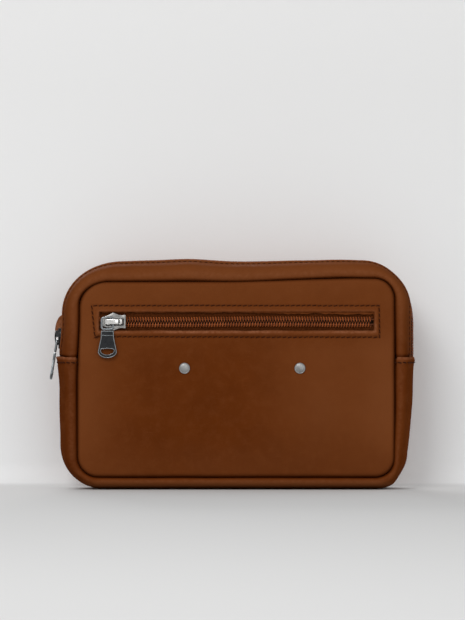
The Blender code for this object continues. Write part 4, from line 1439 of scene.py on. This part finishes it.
def finger_hole(grow):
    """A half moon: a slightly arched top over a half ellipse."""
    half, shoulder = 0.0043 + grow, -0.0175 + grow
    top = [(-half, -0.0182), (-half * 0.85, shoulder), (0.0, -0.0171 + grow), (half * 0.85, shoulder)]
    return top + half_ellipse(-0.0182, half, 0.0029 + grow, 18)[:-1]


def puller(name, place):
    """A square ring, a neck and a flared tongue with a half-moon hole, the rim standing proud."""
    low, high = PULLER_HEIGHT - 0.0006, PULLER_HEIGHT + 0.0006
    tongue, inner = rounded(tongue_outline(0.0), 0.0006), rounded(tongue_outline(PULLER_RIM), 0.0005)
    hole, hole_lip = rounded(finger_hole(0.0), 0.0003), rounded(finger_hole(0.0004), 0.0003)
    crease = box_corners(-0.0034, 0.0034, -0.0090, -0.0086)
    ring = rounded(box_corners(-0.0043, 0.0043, -0.0054, 0.0031), 0.0022)
    window = rounded(box_corners(-0.0030, 0.0030, -0.0042, 0.0022), 0.0012)
    body = plate(name + "_body", [tongue, hole], low, high, 0.00022, gunmetal)
    rim = plate(name + "_rim", [tongue, inner], low, high + 0.00025, 0.0002, worn_rim)
    lip = plate(name + "_lip", [hole_lip, hole], low, high + 0.0002, 0.00014, worn_rim)
    fold = plate(name + "_fold", [crease], high - 0.0002, high + 0.0001, 0.0001, worn_rim)
    loop = plate(name + "_ring", [ring, window], low, high + 0.0001, 0.0004, worn_rim)
    for item in (body, rim, lip, fold, loop):
        item.data.transform(place)
        fit(item, [name] if item is body else (), name)


def turned(name, rows, place, material, steps=40):
    """A round piece from (radius, height) rows about its own outward axis."""
    turn = np.linspace(0, 2 * math.pi, steps, endpoint=False)
    grid = np.array([[(r * math.cos(t), r * math.sin(t), h) for t in turn] for r, h in rows])
    faces = grid_faces(len(rows), steps, wrap=True)
    faces.append(tuple(range(steps))[::-1])
    faces.append(tuple(range((len(rows) - 1) * steps, len(rows) * steps)))
    item = mesh_object(name, grid.reshape(-1, 3), faces, material)
    item.data.transform(place)
    item.data.set_sharp_from_angle(angle=math.radians(50))
    return item


def rivet(side):
    """A domed cap with a rolled rim, its stem sunk into the leather."""
    low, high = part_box("rivet_cap_" + side)
    x, _, z = box_middle("rivet_cap_" + side)
    face = float(on_panel(np.array(x), np.array(z))[1])
    place = carriage((x, face, z), FACING_FRONT)
    radius = (high[0] - low[0]) / 2
    rows = [(0.0013, -0.0020), (0.0013, -0.0001), (radius - 0.0002, -0.0001), (radius, 0.0001)]
    rows += [(radius, 0.0005), (radius - 0.0001, 0.0007), (radius - 0.0003, 0.0008)]
    rows.append((radius - 0.0005, 0.0007))
    for t in np.linspace(0.25, 1.0, 10) * math.pi / 2:
        rows.append(((radius - 0.0005) * math.cos(t) + 0.00002, 0.0005 + 0.0007 * math.sin(t)))
    cap = turned("rivet_dome_" + side, rows, place, pewter)
    fit(cap, ["rivet_cap_" + side], "root")


MAIN_HEAD_SCALE = 0.68                # the main slider's head ends under the bulge above it
PIVOT_FROM_RING = 0.0032
MAIN_PULLER_TILT = math.radians(8.8)
carriages = slider_carriages()
slider("pocket", carriages["pocket"], nickel, bright_nickel)
slider("main", carriages["main"], tarnish_and_shade, tarnish_and_shade, MAIN_HEAD_SCALE)
pocket_pivot = Matrix.Translation((RING_MIDDLE_X + PULLER_SHIFT, 0, 0))
puller("pocket_puller", carriages["pocket"] @ pocket_pivot)
tilt = Matrix.Rotation(MAIN_PULLER_TILT, 4, "Y")
lift = Matrix.Translation((RING_MIDDLE_X + PIVOT_FROM_RING, 0, PULLER_HEIGHT))
lift = lift @ tilt @ Matrix.Translation((-PIVOT_FROM_RING, 0, -PULLER_HEIGHT))
puller("main_puller", carriages["main"] @ lift @ Matrix.Rotation(-math.pi / 2, 4, "Z"))
rivet("left")
rivet("right")

# ---------------------------------------------------------------- stage, light and camera
VIEW_X, VIEW_Z = -0.00224, 0.1146
CAMERA_Y = -3.0
MATCH_Y = -0.012                      # the depth at which the framing is worked out
FRAME_HEIGHT = 0.3968                 # height of the view at that depth
WALL_Y = 0.044
COVE = 0.016
WALL_LIFT = 0.00005                   # keeps the wall's foot clear of the floor
FLOOR_BRIGHTNESS, WALL_BRIGHTNESS = 0.64, 0.95
WORLD_COLOUR, WORLD_STRENGTH = (0.92, 0.92, 0.915, 1), 0.595
LIGHT_AIM = (0, 0, 0.08)


def grey(level):
    return level, level, level, 1


def cool(level):
    """A grey that evens out the brown light thrown on the wall by the pack."""
    return level * 0.985, level * 0.994, level, 1


def paper_material(name, brightness):
    """Pale paper, as dark as the floor at its foot and rising to the given brightness up the wall."""
    material, tree, shader, place = start_material(name, 0.9, specular=0.1, ior=1.1)
    height = node(tree, "ShaderNodeSeparateXYZ", {"Vector": place}).outputs["Z"]
    rise = ramp(tree, height, 0.0, COVE * 0.15)
    floor, speck = grey(FLOOR_BRIGHTNESS), grey(FLOOR_BRIGHTNESS + 0.02)
    low = blend_colour(tree, noise(tree, place, 900.0), floor, speck)
    high = blend_colour(tree, noise(tree, place, 900.0), cool(brightness - 0.02), cool(brightness))
    high = blend_colour(tree, ramp(tree, height, 0.08, 0.26), high, grey(brightness - 0.09))
    tree.links.new(blend_colour(tree, rise, low, high), shader.inputs["Base Color"])
    bump(tree, shader, [(noise(tree, place, 1500.0), 0.00005, 0.2)])
    return material


def show_front_only(material):
    """Leave the material's back faces clear."""
    tree = material.node_tree
    mixed = node(tree, "ShaderNodeMixShader", {
        0: node(tree, "ShaderNodeNewGeometry").outputs["Backfacing"],
        1: tree.nodes["Principled BSDF"].outputs[0],
        2: node(tree, "ShaderNodeBsdfTransparent").outputs[0],
    })
    tree.links.new(mixed.outputs[0], tree.nodes["Material Output"].inputs["Surface"])


def stage():
    """A floor, and a wall that curves up out of it and is seen from the front only."""
    paper = paper_material("paper", FLOOR_BRIGHTNESS)
    points = [(-4, -4, 0), (4, -4, 0), (4, 4, 0), (-4, 4, 0)]
    floor = mesh_object("floor", points, [(0, 1, 2, 3)], paper, smooth=False)
    wall_paper = paper_material("wall_paper", WALL_BRIGHTNESS)
    show_front_only(wall_paper)
    rows = [(WALL_Y - COVE, WALL_LIFT)]
    for i in range(1, 13):
        turn = math.pi / 2 * i / 12
        rows.append((WALL_Y - COVE + COVE * math.sin(turn), COVE - COVE * math.cos(turn) + WALL_LIFT))
    rows.append((WALL_Y, 4.0))
    grid = np.array([[(x, y, z) for x in (-4.0, 4.0)] for y, z in rows])
    wall = sheet_object("wall", grid, wall_paper)
    for ray in ("diffuse", "glossy", "transmission", "shadow"):
        setattr(wall, "visible_" + ray, False)


def area_light(name, place, aim, size, power):
    """A square white light aimed at a point."""
    data = bpy.data.lights.new(name, "AREA")
    data.shape = "RECTANGLE"
    data.size, data.size_y = size, size
    data.energy = power
    item = bpy.data.objects.new(name, data)
    item.location = place
    item.rotation_euler = (Vector(aim) - Vector(place)).to_track_quat("-Z", "Y").to_euler()
    bpy.context.scene.collection.objects.link(item)


def lights_and_camera():
    """A key from the left, a wide fill, a weak light on the wall behind, and a long lens straight on."""
    area_light("key", (-0.55, -1.40, 1.20), LIGHT_AIM, 0.8, 11.2)
    area_light("fill", (0.6, -1.7, 0.4), LIGHT_AIM, 1.2, 4.4)
    area_light("behind", (-0.16, 0.88, 0.42), (0, 0, 0.0), 0.4, 5.0)
    world = bpy.data.worlds.new("studio")
    world.use_nodes = True
    sky = world.node_tree.nodes["Background"]
    sky.inputs["Color"].default_value = WORLD_COLOUR
    sky.inputs["Strength"].default_value = WORLD_STRENGTH
    bpy.context.scene.world = world
    bpy.context.scene.view_settings.view_transform = "Standard"
    data = bpy.data.cameras.new("camera")
    data.sensor_width = 36
    data.lens = data.sensor_width * (MATCH_Y - CAMERA_Y) / FRAME_HEIGHT
    data.clip_end = 20
    camera = bpy.data.objects.new("camera", data)
    camera.location = (VIEW_X, CAMERA_Y, VIEW_Z)
    camera.rotation_euler = (math.pi / 2, 0, 0)
    bpy.context.scene.collection.objects.link(camera)
    bpy.context.scene.camera = camera


stage()
lights_and_camera()
